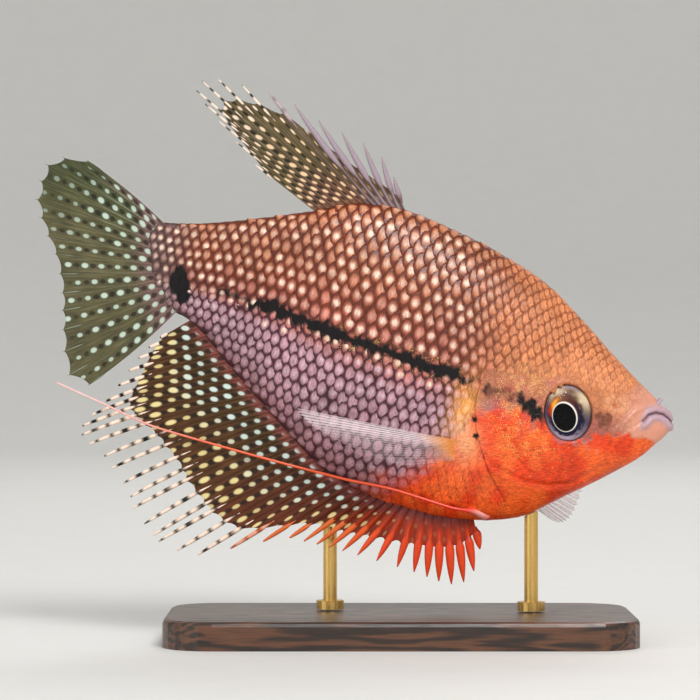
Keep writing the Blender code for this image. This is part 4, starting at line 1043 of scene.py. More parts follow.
def iris_colour(reach, angle, eyes):
    """The iris's colour: reach is 1 at the pupil's edge and 2 at the eye's, angle 0 ahead and 90 degrees up."""
    turn = np.degrees(angle)
    near = lambda at, width: bell((turn - at + 180) % 360 - 180, width)
    tint = blend(eyes.navy, eyes.brown, np.clip(near(80, 55), 0, 1))
    speckle = mottle(turn / 9, reach * 9, 1.0, 51)
    tint = blend(tint, eyes.silver, near(-100, 60) * ease(reach + 0.25 * speckle, 1.5, 1.8))
    tint = blend(tint, eyes.gold, near(34, 27) * ease(reach + 0.2 * speckle, 1.4, 1.8) * 0.9)
    tint = blend(tint, eyes.gold, near(118, 24) * ease(reach + 0.2 * speckle, 1.45, 1.8) * 0.8)
    tint = blend(tint, np.asarray(eyes.silver) * 0.8, near(78, 22) * ease(reach, 1.7, 1.9) * 0.8)
    tint = blend(tint, eyes.orange, near(132, 26) * bell(reach - 1.24, 0.2))
    tint = blend(tint, np.asarray(eyes.orange) * (0.5, 0.06, 0.1), near(160, 14) * bell(reach - 1.35, 0.2))
    tint = tint * (0.8 + 0.4 * mottle(turn / 12, reach * 9, 1.0, 52))[..., None]
    tint = blend(tint, eyes.rim, ease(reach, 1.86, 1.97))
    ring = bell(reach - 1.04, 0.045) * (0.6 + 0.4 * near(30, 110))
    tint = blend(tint, eyes.ring, np.clip(ring * 1.25, 0, 1))
    return blend(tint, eyes.pupil, 1 - ease(reach, 0.96, 1.02))


def eye_grid(reaches, turns):
    """(back, z) grids from the pupil's middle, reach 0, over its edge, 1, to the rim of the eye, 2."""
    inner_back, inner_z = oval_edge(turns, PUPIL)
    outer_back, outer_z = oval_edge(turns, EYE)
    reach = reaches[:, None]
    outer = np.clip(reach - 1, 0, None)
    inner = np.minimum(reach, 1)
    back = (PUPIL[0] + inner * (inner_back - PUPIL[0])) * (1 - outer) + outer_back * outer
    z = (PUPIL[1] + inner * (inner_z - PUPIL[1])) * (1 - outer) + outer_z * outer
    return back, z


def eye_piece(name, side, reaches, stand_off, material, colours=None):
    """A dome over one eye. stand_off gives how far it lies off the head's side, by place in the eye."""
    turns = np.linspace(0, 2 * math.pi, 96, endpoint=False)
    back, z = eye_grid(reaches, turns)
    reach, _ = oval_place(back, z, EYE)
    y = side * (flank_y(back, z) + stand_off(reach))
    points = np.stack([back, y, z], axis=-1)
    faces = grid_faces(len(reaches), len(turns), around=True)
    if side < 0:
        faces = faces[:, ::-1]
    shades, values = {}, {}
    if colours:
        part = np.broadcast_to(reaches[:, None], back.shape)
        shades = {"tint": colours(part, np.broadcast_to(turns, back.shape) + math.radians(7.0))}
        values = {"sparkle": ease(part, 1.0, 1.2)}
    return mesh_piece(name, place(points), faces, material, shades, values)


class GOURAMI_OT_eyes(Operator):
    """Both eyes: a patterned iris round a black pupil, under a clear wet dome"""

    bl_idname = "gourami.eyes"
    bl_label = "Eyes"

    def execute(self, context):
        eyes = context.scene.gourami_eyes
        iris, tree, shader = new_material("iris", roughness=0.3, specular_ior_level=0.1)
        tree.links.new(read(tree, "tint"), shader.inputs["Base Color"])
        sparkle = node(tree, "ShaderNodeTexVoronoi", {"Vector": object_place(tree), "Scale": 3000.0})
        glints = sums(tree, "MULTIPLY", sparkle.outputs["Distance"], read(tree, "sparkle", "Fac"))
        relief(tree, shader, glints, 0.4, 0.05)

        clear = bpy.data.materials.new("clear_eye_dome")
        clear.use_nodes = True
        tree = clear.node_tree
        tree.nodes.remove(tree.nodes["Principled BSDF"])
        gloss = node(tree, "ShaderNodeBsdfGlossy", {"Color": (1.0, 1.0, 1.0, 1.0), "Roughness": 0.03})
        through_it = node(tree, "ShaderNodeBsdfTransparent")
        mirror = node(tree, "ShaderNodeFresnel", {"IOR": 1.1}).outputs[0]
        both = node(tree, "ShaderNodeMixShader", {0: mirror, 1: through_it.outputs[0], 2: gloss.outputs[0]})
        tree.links.new(both.outputs[0], tree.nodes["Material Output"].inputs["Surface"])

        inside = np.concatenate([np.linspace(0.02, 0.9, 12), np.linspace(0.94, 1.2, 14), np.linspace(1.24, 2.0, 26)])
        dome = np.linspace(0.02, 2.0, 34)
        for name, side in (("eye_right", -1), ("eye_left", 1)):
            iris_out = lambda reach: -0.55 + 0.95 * np.clip(1 - reach**2, 0, 1)
            dome_out = lambda reach: -0.4 + (eyes.bulge + 0.4) * np.sqrt(np.clip(1 - reach**2, 0, 1))
            piece = eye_piece(name, side, inside, iris_out, iris, lambda r, t: iris_colour(r, t, eyes))
            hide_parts(name)
            eye_piece(name + "_dome", side, dome, dome_out, clear)
        return {"FINISHED"}


# ---- Fins ----


class GouramiFins(PropertyGroup):
    web: FloatProperty(name="Web", description="Thickness of a fin's web, in millimetres", default=0.13, min=0.02)
    ridge: FloatProperty(name="Rays", description="Thickness the rays add at the body, in millimetres", default=0.42)
    rows: IntProperty(name="Rows", description="Rows of points along a ray", default=64, min=8, max=150)
    dorsal_base: colour_property("Back fin, foot", "Web of the back fin near the body", 112, 74, 54)
    dorsal_edge: colour_property("Back fin, edge", "Web of the back fin near its edge", 92, 78, 48)
    dorsal_spot: colour_property("Back fin spots", "Long pale spots of the back fin", 236, 200, 160)
    dorsal_spine: colour_property("Back fin spines", "Lilac grey spines of the back fin", 160, 142, 152)
    anal_foot: colour_property("Anal fin, foot", "Dull lilac red along the belly", 140, 70, 68)
    anal_front: colour_property("Anal fin, front", "Rust red of the anal fin's front", 150, 44, 20)
    anal_middle: colour_property("Anal fin, middle", "Brown red of the anal fin's middle", 96, 42, 20)
    anal_rear: colour_property("Anal fin, rear", "Olive of the anal fin's rear", 74, 52, 22)
    anal_spine: colour_property("Anal fin spines", "Orange red of the anal fin's spines", 226, 70, 28)
    anal_spot: colour_property("Anal fin spots", "Aqua white spots near the body", 206, 224, 216)
    anal_streak: colour_property("Anal fin streaks", "Yellow cream streaks toward the edge", 232, 214, 150)
    thread: colour_property("Threads", "Orange of the free ends of the rays", 214, 104, 50)
    thread_pale: colour_property("Pale threads", "Cream bands of the free ends", 244, 220, 200)
    caudal_foot: colour_property("Tail fin, foot", "Lilac brown of the tail fin's foot and upper edge", 118, 88, 86)
    caudal_web: colour_property("Tail fin", "Olive grey of the tail fin", 84, 80, 54)
    caudal_upper: colour_property("Tail fin, upper lobe", "Green olive of the upper lobe", 68, 74, 46)
    caudal_spot: colour_property("Tail fin spots", "Aqua white spots of the tail fin", 192, 210, 194)
    dark: colour_property("Dashes", "Dark dashes between the spots", 18, 16, 14)
    side_web: colour_property("Side fin web", "Lilac web of the side fins", 214, 188, 196)
    side_ray: colour_property("Side fin rays", "Whitish rays of the side fins", 244, 230, 234)
    feeler_root: colour_property("Feeler root", "Red orange of a feeler's root", 226, 46, 20)
    feeler_middle: colour_property("Feeler middle", "Orange of a feeler", 232, 88, 44)
    # The feeler's own pale end colour, also used for a painted highlight near each feeler's root
    feeler_tip_and_highlight: colour_property("Feeler tip", "Pinkish white of a feeler's end", 236, 196, 190)


# Where points lie across the web from one ray to the next, closest beside the rays
WEB_STEPS = (0.0, 0.045, 0.09, 0.15, 0.25, 0.38, 0.5, 0.62, 0.75, 0.85, 0.91, 0.955)


def curve(start, bend, end, t):
    """Points at shares along rays from foot to tip, bowed toward bend."""
    return start * (1 - t) ** 2 + bend * (2 * t * (1 - t)) + end * t * t


def edge_line(edge, first, last, side):
    """A function from share of a fin's foot to its point on the top line or underside."""
    backs = np.linspace(first, last, 200)
    levels = edge(backs)
    lengths = np.concatenate([[0.0], np.cumsum(np.hypot(np.diff(backs), np.diff(levels)))])

    def point(share):
        back = np.interp(share * lengths[-1], lengths, backs)
        return np.stack([back, np.zeros_like(back), edge(back) + side * FIN_FOOT_OUT], axis=-1)

    return point


def middle_fin_rays(shares, foot, tips, bow, sway=0.0, jitter=0.0):
    """Foot, bend and tip of each ray of a fin in the body's middle plane."""
    start = foot(shares)
    y = sway * np.sin(2 * math.pi * shares)
    tip = np.stack([through(tips, 1, shares) + jitter, y, through(tips, 2, shares)], axis=-1)
    run = tip - start
    bend = (start + tip) / 2 + np.stack([-run[:, 2], run[:, 0] * 0, run[:, 0]], axis=-1) * bow[:, None]
    bend[:, 1] = y * 0.3
    return start, bend, tip


def tube_mesh(line, radii, sides):
    """Points and faces of a closed tube along a line of points."""
    ahead = np.gradient(line, axis=0)
    ahead /= np.linalg.norm(ahead, axis=1, keepdims=True)
    side = np.cross(ahead, (0.0, 1.0, 0.0))
    side /= np.linalg.norm(side, axis=1, keepdims=True)
    up = np.cross(side, ahead)
    turn = np.linspace(0, 2 * math.pi, sides, endpoint=False)
    ring = np.cos(turn)[None, :, None] * side[:, None] + np.sin(turn)[None, :, None] * up[:, None]
    points = line[:, None] + ring * np.asarray(radii)[:, None, None]
    faces = [tuple(q) for q in grid_faces(len(line), sides, around=True)]
    count = len(line) * sides
    return points.reshape(-1, 3), faces + [tuple(range(sides))[::-1], tuple(range(count - sides, count))]


class FinSheet:
    """A webbed fin with two faces and raised rays, and its rays' free ends."""

    def __init__(self, start, bend, tip, web, look, soft_from=0, scallop=0.05, ridge_width=0.2, thin=1.0):
        count = len(start)
        scallop, ridge_width = np.full(count, 1.0) * scallop, np.full(count, 1.0) * ridge_width
        q = np.array([k + f for k in range(count - 1) for f in WEB_STEPS] + [count - 1.0])
        knots = np.arange(count)

        def across(values):
            values = np.asarray(values, float)
            if values.ndim == 1:
                return np.interp(q, knots, values)
            return np.stack([np.interp(q, knots, values[:, k]) for k in range(3)], axis=-1)

        between = np.sin(math.pi * (q % 1.0))
        reach = across(web) * (1 - across(scallop) * between**0.7)
        sunk = FIN_SUNK / np.linalg.norm(across(tip) - across(start), axis=-1)
        self.row = np.linspace(0, 1, look.rows)[:, None] * np.ones_like(q)
        self.q = np.ones((look.rows, 1)) * q
        self.share = self.q / (count - 1)
        self.t = -sunk + (reach + sunk) * self.row
        t = self.t[..., None]
        points = curve(across(start), across(bend), across(tip), t)
        length = np.linalg.norm(np.diff(points, axis=0), axis=-1)
        self.run = np.concatenate([np.zeros((1, len(q))), np.cumsum(length, axis=0)])
        first = np.minimum(np.floor(self.q[0]).astype(int), count - 2)
        steps = len(WEB_STEPS)
        self.pitch = np.linalg.norm(points[:, (first + 1) * steps] - points[:, first * steps], axis=-1)
        frac = self.q - first
        off = np.minimum(frac, 1 - frac) * self.pitch
        soft = ease(self.q, soft_from - 0.5, soft_from)
        fork = 0.17 * self.pitch * ease(self.t, 0.35, 0.85) * soft
        taper = 1 - 0.62 * self.row
        wide = across(ridge_width)
        self.ray = bell(np.abs(off - fork), wide * (1 - 0.4 * self.row))
        thick = (look.web * (1 - 0.4 * self.row) + look.ridge * wide / 0.2 * taper * self.ray) / 2 * thin
        thick[-1], thick[:, 0], thick[:, -1] = 0.02, 0.02, 0.02
        normal = np.cross(np.gradient(points, axis=0), np.gradient(points, axis=1))
        normal /= np.linalg.norm(normal, axis=-1, keepdims=True)
        near, far = points - normal * thick[..., None], points + normal * thick[..., None]
        rows, columns = self.q.shape
        grid = grid_faces(rows, columns)
        faces = [grid[:, ::-1], grid + rows * columns]
        index = np.arange(rows * columns).reshape(rows, columns)
        for line in (index[0, ::-1], index[-1], index[:, 0], index[::-1, -1]):
            a, b = line[:-1], line[1:]
            faces.append(np.stack([b, a, a + rows * columns, b + rows * columns], -1))
        self.points = np.concatenate([near.reshape(-1, 3), far.reshape(-1, 3)])
        self.faces = [tuple(f) for f in np.concatenate(faces)]
        self.free = []
        for k in range(count):
            if web[k] < 0.995:
                t = np.linspace(web[k] * (0.4 if k < soft_from else 0.82), 1.0, 20)
                line = curve(start[k], bend[k], tip[k], t[:, None])
                self.free.append((k / (count - 1), line))

    def make(self, name, material, tint, spot_tint, values, thread_tint=None, thread_radius=None):
        """The fin's mesh. tint and spot_tint are grids of colours, values grids of numbers by name.

        The free ends are coloured by ray share and millimetres along, and thread_radius is (shares, radii, and how
        pointed they are, 0 to 1)."""
        points, faces = [self.points], list(self.faces)
        twice = lambda grid, last: np.concatenate([grid.reshape(-1, last)] * 2)
        period = np.broadcast_to(values.get("period", 1.0), self.q.shape)
        steps = np.diff(self.run, axis=0) / ((period[1:] + period[:-1]) / 2)
        phase = np.concatenate([np.zeros((1, steps.shape[1])), np.cumsum(steps, axis=0)])
        tints, spots = [twice(tint, 3)], [twice(spot_tint, 3)]
        numbers = {key: [twice(np.broadcast_to(grid, self.q.shape), 1)] for key, grid in values.items()}
        maps = [twice(np.stack([self.q, phase], axis=-1), 2)]
        start = len(self.points)
        for share, line in self.free if thread_tint else ():
            run = np.concatenate([[0.0], np.cumsum(np.linalg.norm(np.diff(line, axis=0), axis=1))])
            part = run / run[-1]
            radius, pointed = (float(np.interp(share, thread_radius[0], row)) for row in thread_radius[1:])
            swell = radius * (0.25 + 0.75 * ease(part, 0.0, 0.35))
            narrowed = 1 - (0.45 + 0.45 * pointed) * part ** (4.5 - 1.5 * pointed)
            made, more = tube_mesh(line, swell * narrowed, THREAD_SIDES)
            points.append(made)
            faces += [tuple(i + start for i in face) for face in more]
            start += len(made)
            shade = np.repeat(thread_tint(np.full_like(run, share), run), THREAD_SIDES, axis=0)
            tints.append(shade)
            spots.append(shade)
            for key, grids in numbers.items():
                plain = 1.0 if key in ("pitch", "solid", "spot_length", "spot_width") else 0.0
                grids.append(np.full((len(made), 1), plain))
            maps.append(np.zeros((len(made), 2)))
        joined = {key: np.concatenate(grids) for key, grids in numbers.items()}
        piece = mesh_piece(
            name,
            place(np.concatenate(points)),
            faces,
            material,
            {"tint": np.concatenate(tints), "spot_tint": np.concatenate(spots)},
            joined,
            {"fin": np.concatenate(maps)},
        )
        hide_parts(name)
        return piece


def fin_material(name, dark, see_through=False):
    """Webs with raised rays, rows of spots and dark dashes, all placed by the mesh's own values."""
    wet = {"roughness": 0.38, "specular_ior_level": 0.2, "coat_weight": 0.1, "coat_roughness": 0.15}
    material, tree, shader = new_material(name, **wet)
    place_in = object_place(tree)
    grain = use_group(tree, "Damp grain", Place=place_in, Size=0.5, Depth=0.5)
    fin = mapped(tree, "fin")
    tint = toned(tree, read(tree, "tint"), grain["Tone"])
    stretched = node(tree, "ShaderNodeMapping", {0: fin, "Scale": (11.0, 0.9, 1.0)}).outputs[0]
    streak = node(tree, "ShaderNodeTexNoise", {"Vector": stretched, "Scale": 1.0, "Detail": 3.0}).outputs[0]
    tint = toned(tree, tint, fade(tree, streak, 0.3, 0.7, 0.78, 1.22))
    if see_through:
        tree.links.new(read(tree, "solid", "Fac"), shader.inputs["Alpha"])
    else:
        rows = use_group(
            tree,
            "Spot rows",
            Place=fin,
            Pitch=read(tree, "pitch", "Fac"),
            Period=read(tree, "period", "Fac"),
            Length=read(tree, "spot_length", "Fac"),
            Width=read(tree, "spot_width", "Fac"),
        )
        dash = sums(tree, "MULTIPLY", rows["Dash"], read(tree, "dash", "Fac"))
        tint = mixed(tree, dash, tint, tuple(dark))
        spot = sums(tree, "MULTIPLY", rows["Spot"], read(tree, "spot", "Fac"))
        dim = sums(tree, "MULTIPLY", spot, fade(tree, rows["Chance"], 0.0, 1.0, 0.78, 1.0))
        tint = mixed(tree, dim, tint, read(tree, "spot_tint"))
    tree.links.new(tint, shader.inputs["Base Color"])
    height = sums(tree, "ADD", sums(tree, "MULTIPLY", streak, 0.8), sums(tree, "MULTIPLY", grain["Relief"], 0.3))
    relief(tree, shader, height, 0.35, 0.08)
    return material


def banded(look, share, run):
    """The free ends of the rays: cream pieces with short black gaps, by share of the fin and millimetres along."""
    gap = ease(np.abs((run / 2.7 + share * 87.3) % 1.0 - 0.5), 0.3, 0.36)
    return blend(look.thread_pale, look.dark, gap)


class GOURAMI_OT_back_and_anal_fins(Operator):
    """The back fin and the long anal fin, with their rays' free ends"""

    bl_idname = "gourami.back_and_anal_fins"
    bl_label = "Back and anal fins"

    def execute(self, context):
        look = context.scene.gourami_fins
        material = fin_material("spotted_fin", look.dark)

        shares = np.linspace(0, 1, DORSAL_RAYS)
        foot = edge_line(top_line, DORSAL_FRONT, DORSAL_REAR, 1)
        rays = middle_fin_rays(shares, foot, DORSAL_TIPS, -DORSAL_BOW * (1 - shares))
        web = through(DORSAL_WEB, 1, shares)
        spiny = 1 - ease(shares, 0.3, 0.5)
        fin = FinSheet(*rays, web, look, DORSAL_SPINES, 0.03 + 0.12 * spiny, 0.14 + 0.4 * spiny)
        tint = blend(look.dorsal_base, look.dorsal_edge, ease(fin.row, 0.05, 0.5))
        tint = tint * (0.75 + 0.5 * mottle(fin.run, fin.q, 1.8, 62))[..., None]
        front = 1 - ease(fin.share, 0.3, 0.5)
        tint = blend(tint, np.asarray(look.dorsal_base) * 0.6, 0.7 * front)
        tint = blend(tint, blend(tint * 0.6, look.dorsal_spine, front), 0.9 * fin.ray)
        values = {
            "pitch": fin.pitch,
            "period": 2.35 + 0.5 * fin.row,
            "spot_length": 0.56 + 0.15 * fin.row,
            "spot_width": np.minimum(0.34 * fin.pitch, 0.4),
            "spot": 0.95 * (1 - 0.8 * fin.ray) * ease(fin.run, 1.0, 2.0) * (1 - 0.75 * front),
            "dash": 0.85 * (1 - 0.6 * fin.ray) * ease(fin.run, 1.0, 2.0) * (1 - 0.6 * front),
        }
        spot_tint = blend(look.dorsal_spot, look.thread_pale, ease(fin.row, 0.5, 1.0))

        def thread(share, run):
            spine = blend(look.dorsal_base, look.dorsal_spine, ease(run, 0.0, 2.5))
            return blend(spine, banded(look, share, run), ease(share, 0.4, 0.5))

        radii = ((0.0, 0.35, 0.5, 1.0), (0.54, 0.64, 0.24, 0.17), (1.0, 1.0, 0.5, 0.4))
        fin.make("dorsal_fin", material, tint, spot_tint, values, thread, radii)

        spines = ANAL_SPINE_SHARE * np.arange(ANAL_SPINES) / ANAL_SPINES
        soft = np.linspace(ANAL_SPINE_SHARE, 1, ANAL_SOFT_RAYS)
        shares = np.concatenate([spines, soft])
        foot = edge_line(underside, ANAL_FRONT, ANAL_REAR, -1)
        bow = 0.05 * ease(shares, 0.35, 0.6) * (1 - ease(shares, 0.8, 0.95))
        uneven = ease(shares, 0.34, 0.5) * (1 - ease(shares, 0.8, 0.92))
        jitter = np.random.default_rng(7).uniform(-0.9, 0.9, len(shares)) * uneven
        rays = middle_fin_rays(shares, foot, ANAL_TIPS, bow, jitter=jitter)
        web = through(ANAL_WEB, 1, shares)
        spiny = 1 - ease(shares, 0.3, 0.4)
        fin = FinSheet(*rays, web, look, ANAL_SPINES, 0.04 + 0.2 * spiny, 0.15 + 0.5 * spiny)
        tint = blend(look.anal_front, look.anal_middle, ease(fin.share, 0.14, 0.4))
        tint = blend(tint, look.anal_rear, ease(fin.share, 0.4, 0.65) * (0.65 + 0.35 * (1 - fin.row)))
        tint = blend(tint, look.anal_foot, 0.65 * ease(fin.share, 0.0, 0.07) * (1 - ease(fin.run, 0.9, 3.6)))
        tint = tint * (0.75 + 0.45 * mottle(fin.run, fin.q, 2.2, 63))[..., None]
        forward = 1 - ease(fin.share, 0.22, 0.4)
        on_ray = blend(tint * 0.5, look.anal_spine, forward * ease(fin.row, 0.1, 0.7))
        tint = blend(tint, on_ray, fin.ray * 0.85)
        margin = ease(fin.row, 0.4, 0.9)
        values = {
            "pitch": fin.pitch,
            "period": 2.5 + 0.6 * margin,
            "spot_length": 0.62 + 0.38 * margin - 0.3 * forward,
            "spot_width": np.minimum(0.37 * fin.pitch, 0.58) - 0.08 * margin - 0.2 * forward,
            "spot": (0.08 + 0.87 * ease(fin.share, 0.16, 0.4)) * (1 - 0.85 * fin.ray) * ease(fin.run, 1.0, 1.8),
            "dash": 0.8 * ease(fin.share, 0.25, 0.5) * (1 - 0.4 * fin.ray),
        }
        spot_tint = blend(look.anal_spot, look.anal_streak, np.clip(ease(fin.row, 0.35, 0.7) + forward, 0, 1))

        def thread(share, run):
            warm = blend(look.anal_front, look.anal_spine, ease(run, 0.0, 3.0))
            warm = blend(warm, look.thread, ease(share, 0.2, 0.36))
            return blend(warm, banded(look, share, run), ease(share, 0.42, 0.48))

        radii = ((0.0, 0.1, 0.28, 0.4, 1.0), (0.85, 0.88, 0.62, 0.42, 0.34), (1.0, 1.0, 1.0, 0.5, 0.1))
        fin.make("anal_fin", material, tint, spot_tint, values, thread, radii)
        return {"FINISHED"}


class GOURAMI_OT_tail_fin(Operator):
    """The forked tail fin, with its rows of pale spots"""

    bl_idname = "gourami.tail_fin"
    bl_label = "Tail fin"

    def execute(self, context):
        look = context.scene.gourami_fins

        def foot(share):
            level = CAUDAL_TOP + 0.8 * (1 - share) + (CAUDAL_FOOT - CAUDAL_TOP) * share
            return np.stack([ring_back(np.full_like(level, TAIL_END), level) + 0.42, level * 0, level], axis=-1)

        shares = np.linspace(0, 1, CAUDAL_RAYS)
        rays = middle_fin_rays(shares, foot, CAUDAL_TIPS, 0.05 * np.cos(math.pi * shares), sway=CAUDAL_SWAY)
        fin = FinSheet(*rays, np.full_like(shares, 0.98), look, scallop=0.025, ridge_width=0.15)
        tint = blend(look.caudal_upper, look.caudal_web, ease(fin.share, 0.1, 0.4))
        tint = tint * (0.72 + 0.5 * mottle(fin.run, fin.q * 2, 2.6, 71))[..., None]
        tint = blend(tint, np.asarray(look.caudal_web) * 1.7, fin.ray * 0.55)
        fleshy = 1 - ease(fin.run - 1.5 * fin.ray, 4.0, 9.0)
        upper = (1 - ease(fin.share, 0.02, 0.1)) * (1 - ease(fin.row, 0.3, 0.85))
        tint = blend(tint, look.caudal_foot, 0.85 * np.maximum(fleshy, upper))
        values = {
            "pitch": fin.pitch,
            "period": 2.75 + 0.3 * fin.row,
            "spot_length": 0.68 - 0.1 * fin.row,
            "spot_width": np.minimum(0.4 * fin.pitch, 0.56 - 0.1 * fin.row),
            "spot": 0.95 * (1 - 0.7 * fin.ray) * (1 - 0.6 * ease(fin.row, 0.5, 0.9) * (1 - ease(fin.share, 0.3, 0.6))),
            "dash": 0.75 * ease(fin.run, 1.0, 3.0) * (1 - 0.5 * ease(fin.row, 0.8, 1.0)),
        }
        spot_tint = np.broadcast_to(np.asarray(look.caudal_spot), fin.q.shape + (3,))

        def thread(share, run):
            return blend(look.caudal_web, look.caudal_spot, 0.3 * ease(share, 0.3, 0.7))

        radii = ((0.0, 1.0), (0.13, 0.13), (1.0, 1.0))
        material = fin_material("tail_fin", look.dark)
        fin.make("caudal_fin", material, tint, spot_tint, values, thread, radii)
        return {"FINISHED"}


class GOURAMI_OT_side_fins(Operator):
    """The two clear side fins behind the gills, one swept back and one spread"""

    bl_idname = "gourami.side_fins"
    bl_label = "Side fins"

    def execute(self, context):
        look = context.scene.gourami_fins
        material = fin_material("side_fin", look.dark, see_through=True)
        shares = np.linspace(0, 1, PECTORAL_RAYS)
        for name, side, tips in (
            ("pectoral_fin_right", -1, PECTORAL_SWEPT_TIPS),
            ("pectoral_fin_left", 1, PECTORAL_SPREAD_TIPS),
        ):
            first, middle, last = (np.array([back, side * y, z]) for back, y, z in tips)
            level = PECTORAL_ROOT_TOP + (PECTORAL_ROOT_FOOT - PECTORAL_ROOT_TOP) * shares
            skin = side * (flank_y(np.full_like(level, PECTORAL_ROOT_BACK), level) - PECTORAL_ROOT_SUNK)
            start = np.stack([np.full_like(level, PECTORAL_ROOT_BACK), skin, level], axis=-1)
            start[:, 2] += 0.3 * (level.mean() - level)
            tip = curve(first, middle * 2 - (first + last) / 2, last, shares[:, None])
            run = np.linalg.norm(tip - start, axis=-1)
            bend = start + (tip - start) * 0.4
            bend[:, 1] += side * run * 0.16
            web = np.full_like(shares, 0.985)
            fin = FinSheet(start, bend, tip, web, look, scallop=0.02, ridge_width=0.17, thin=0.55)
            tint = blend(look.side_web, look.side_ray, fin.ray)
            tint = blend(tint, context.scene.gourami_skin.gill_yellow, 1 - ease(fin.row, 0.14, 0.42))
            bunched = bell(fin.share - 0.2, 0.2)
            solid = 0.04 + 0.1 * bunched + (0.16 + 0.5 * bunched) * fin.ray * (1 - 0.3 * fin.row)
            solid = np.maximum(solid, 0.6 * (1 - ease(fin.row, 0.14, 0.36))) * ease(fin.row, 0.06, 0.2)
            solid = np.where(side > 0, np.maximum(solid, 0.8 * fin.ray * ease(fin.row, 0.5, 0.8)), solid)
            fin.make(name, material, tint, tint, {"solid": solid})
        return {"FINISHED"}


class GOURAMI_OT_feelers(Operator):
    """The two long thread-like feelers, and the small nose tubes"""

    bl_idname = "gourami.feelers"
    bl_label = "Feelers and nose tubes"

    def execute(self, context):
        look, skin = context.scene.gourami_fins, context.scene.gourami_skin
        material, tree, shader = new_material("feeler_thread", roughness=0.36, coat_weight=0.3, coat_roughness=0.15)
        grain = use_group(tree, "Damp grain", Place=object_place(tree), Size=0.35, Depth=0.5)
        tree.links.new(toned(tree, read(tree, "tint"), grain["Tone"]), shader.inputs["Base Color"])
        relief(tree, shader, grain["Relief"], 0.3, 0.06)
        for name, side, route in (("pelvic_fin_right", -1, RIGHT_FEELER), ("pelvic_fin_left", 1, LEFT_FEELER)):
            t = np.linspace(0, 1, 120)
            back = route[0][0] + (route[-1][0] - route[0][0]) * t
            z = through(route, 1, back)
            flank = np.max([flank_y(back + db, z + dz) for db in (-1.5, 0, 1.5) for dz in (0.0, 0.8)], axis=0)
            beside = flank + FEELER_CLEAR - FEELER_ROOT_SUNK * (1 - ease(t, 0.0, 0.06))
            y = np.maximum(beside, FEELER_REST_Y - 0.5 * (1 - ease(t, 0, 0.03)))
            y = np.convolve(np.pad(y, 4, mode="edge"), np.full(9, 1 / 9), mode="valid")
            radii = 0.3 + 0.42 * (1 - ease(t, 0.0, 0.07)) - 0.14 * t
            points, faces = tube_mesh(np.stack([back, side * y, z], axis=-1), radii, FEELER_SIDES)
            tint = blend(look.feeler_root, look.feeler_middle, ease(t, 0.05, 0.35))
            # Painted highlight: a pinkish-white band just past the root, where the feeler bends out of the breast
            tint = blend(tint, look.feeler_tip_and_highlight, 0.6 * bell(t - 0.02, 0.018))
            tint = blend(tint, look.feeler_tip_and_highlight, ease(t, 0.6, 0.97) * 0.9)
            colours = {"tint": np.repeat(tint, FEELER_SIDES, axis=0)}
            piece = mesh_piece(name, place(points), faces, material, colours)
            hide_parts(name)

        points, faces, tints = [], [], []
        for side in (-1, 1):
            level = float(top_line(3.5)) - 0.45
            foot = np.array([3.8, side * 1.0, level - 0.9])
            end = np.array([3.15, side * 1.15, level + 1.1])
            t = np.array([0.0, 0.4, 0.75, 0.93, 1.0, 1.0, 0.8, 0.5])
            radii = np.array([0.46, 0.38, 0.31, 0.3, 0.26, 0.17, 0.15, 0.1])
            tube_line = foot + (end - foot) * t[:, None] + np.linspace(0, 1e-3, 8)[:, None]
            made, more = tube_mesh(tube_line, radii, NOSE_TUBE_SIDES)
            faces += [tuple(i + len(points) * len(made) for i in face) for face in more]
            points.append(made)
            # Painted shade: each tube's inner end, inside its opening, is darkened
            shade = blend(skin.lips, skin.hollow_shade, ease(np.arange(8), 4.2, 6.0))
            tints.append(np.repeat(shade, NOSE_TUBE_SIDES, axis=0))
        tint = {"tint": np.concatenate(tints)}
        mesh_piece("nose_tubes", place(np.concatenate(points)), faces, material, tint)
        return {"FINISHED"}


# ---- Stand ----


class GouramiStand(PropertyGroup):
    wood_dark: colour_property("Dark grain", "Dark lines of the wood", 38, 22, 14)
    wood_light: colour_property("Light grain", "Light bands of the wood", 92, 56, 34)
    brass: colour_property("Brass", "Metal of the rods", 214, 176, 104)


class GOURAMI_OT_stand(Operator):
    """Grained dark wood for the base and brushed brass for the rods"""

    bl_idname = "gourami.stand"
    bl_label = "Stand"

    def execute(self, context):
        look = context.scene.gourami_stand
        wood, tree, shader = new_material("dark_wood_grain", coat_weight=0.25, coat_roughness=0.25)
        place_in = object_place(tree)
        along = node(tree, "ShaderNodeMapping", {0: place_in, "Scale": (0.08, 1.0, 1.0)}).outputs[0]
        warp = node(tree, "ShaderNodeTexNoise", {"Vector": along, "Scale": 160.0, "Detail": 4.0}).outputs[0]
        pores = node(tree, "ShaderNodeTexNoise", {"Vector": along, "Scale": 2400.0, "Detail": 2.0}).outputs[0]
        rings = sums(tree, "SINE", sums(tree, "MULTIPLY", warp, 60.0))
        tint = mixed(tree, fade(tree, rings, -1.0, 1.0), tuple(look.wood_dark), tuple(look.wood_light))
        tint = toned(tree, tint, fade(tree, pores, 0.3, 0.6, 0.72, 1.1))
        tree.links.new(tint, shader.inputs["Base Color"])
        tree.links.new(fade(tree, pores, 0.3, 0.7, 0.48, 0.34), shader.inputs["Roughness"])
        relief(tree, shader, pores, 0.25, 0.08)

        brass, tree, shader = new_material("brushed_brass", metallic=1.0)
        shader.inputs["Base Color"].default_value = (*look.brass, 1.0)
        fine = node(tree, "ShaderNodeMapping", {0: object_place(tree), "Scale": (1.0, 1.0, 0.04)}).outputs[0]
        scratch = node(tree, "ShaderNodeTexNoise", {"Vector": fine, "Scale": 5200.0, "Detail": 3.0}).outputs[0]
        tree.links.new(fade(tree, scratch, 0.3, 0.7, 0.2, 0.36), shader.inputs["Roughness"])
        relief(tree, shader, scratch, 0.12, 0.03)

        for name, material in (("stand_base", wood), ("stand_rod_front", brass), ("stand_rod_rear", brass)):
            for held in bpy.data.objects[name].material_slots:
                held.material = material
        return {"FINISHED"}


# ---- Stage ----


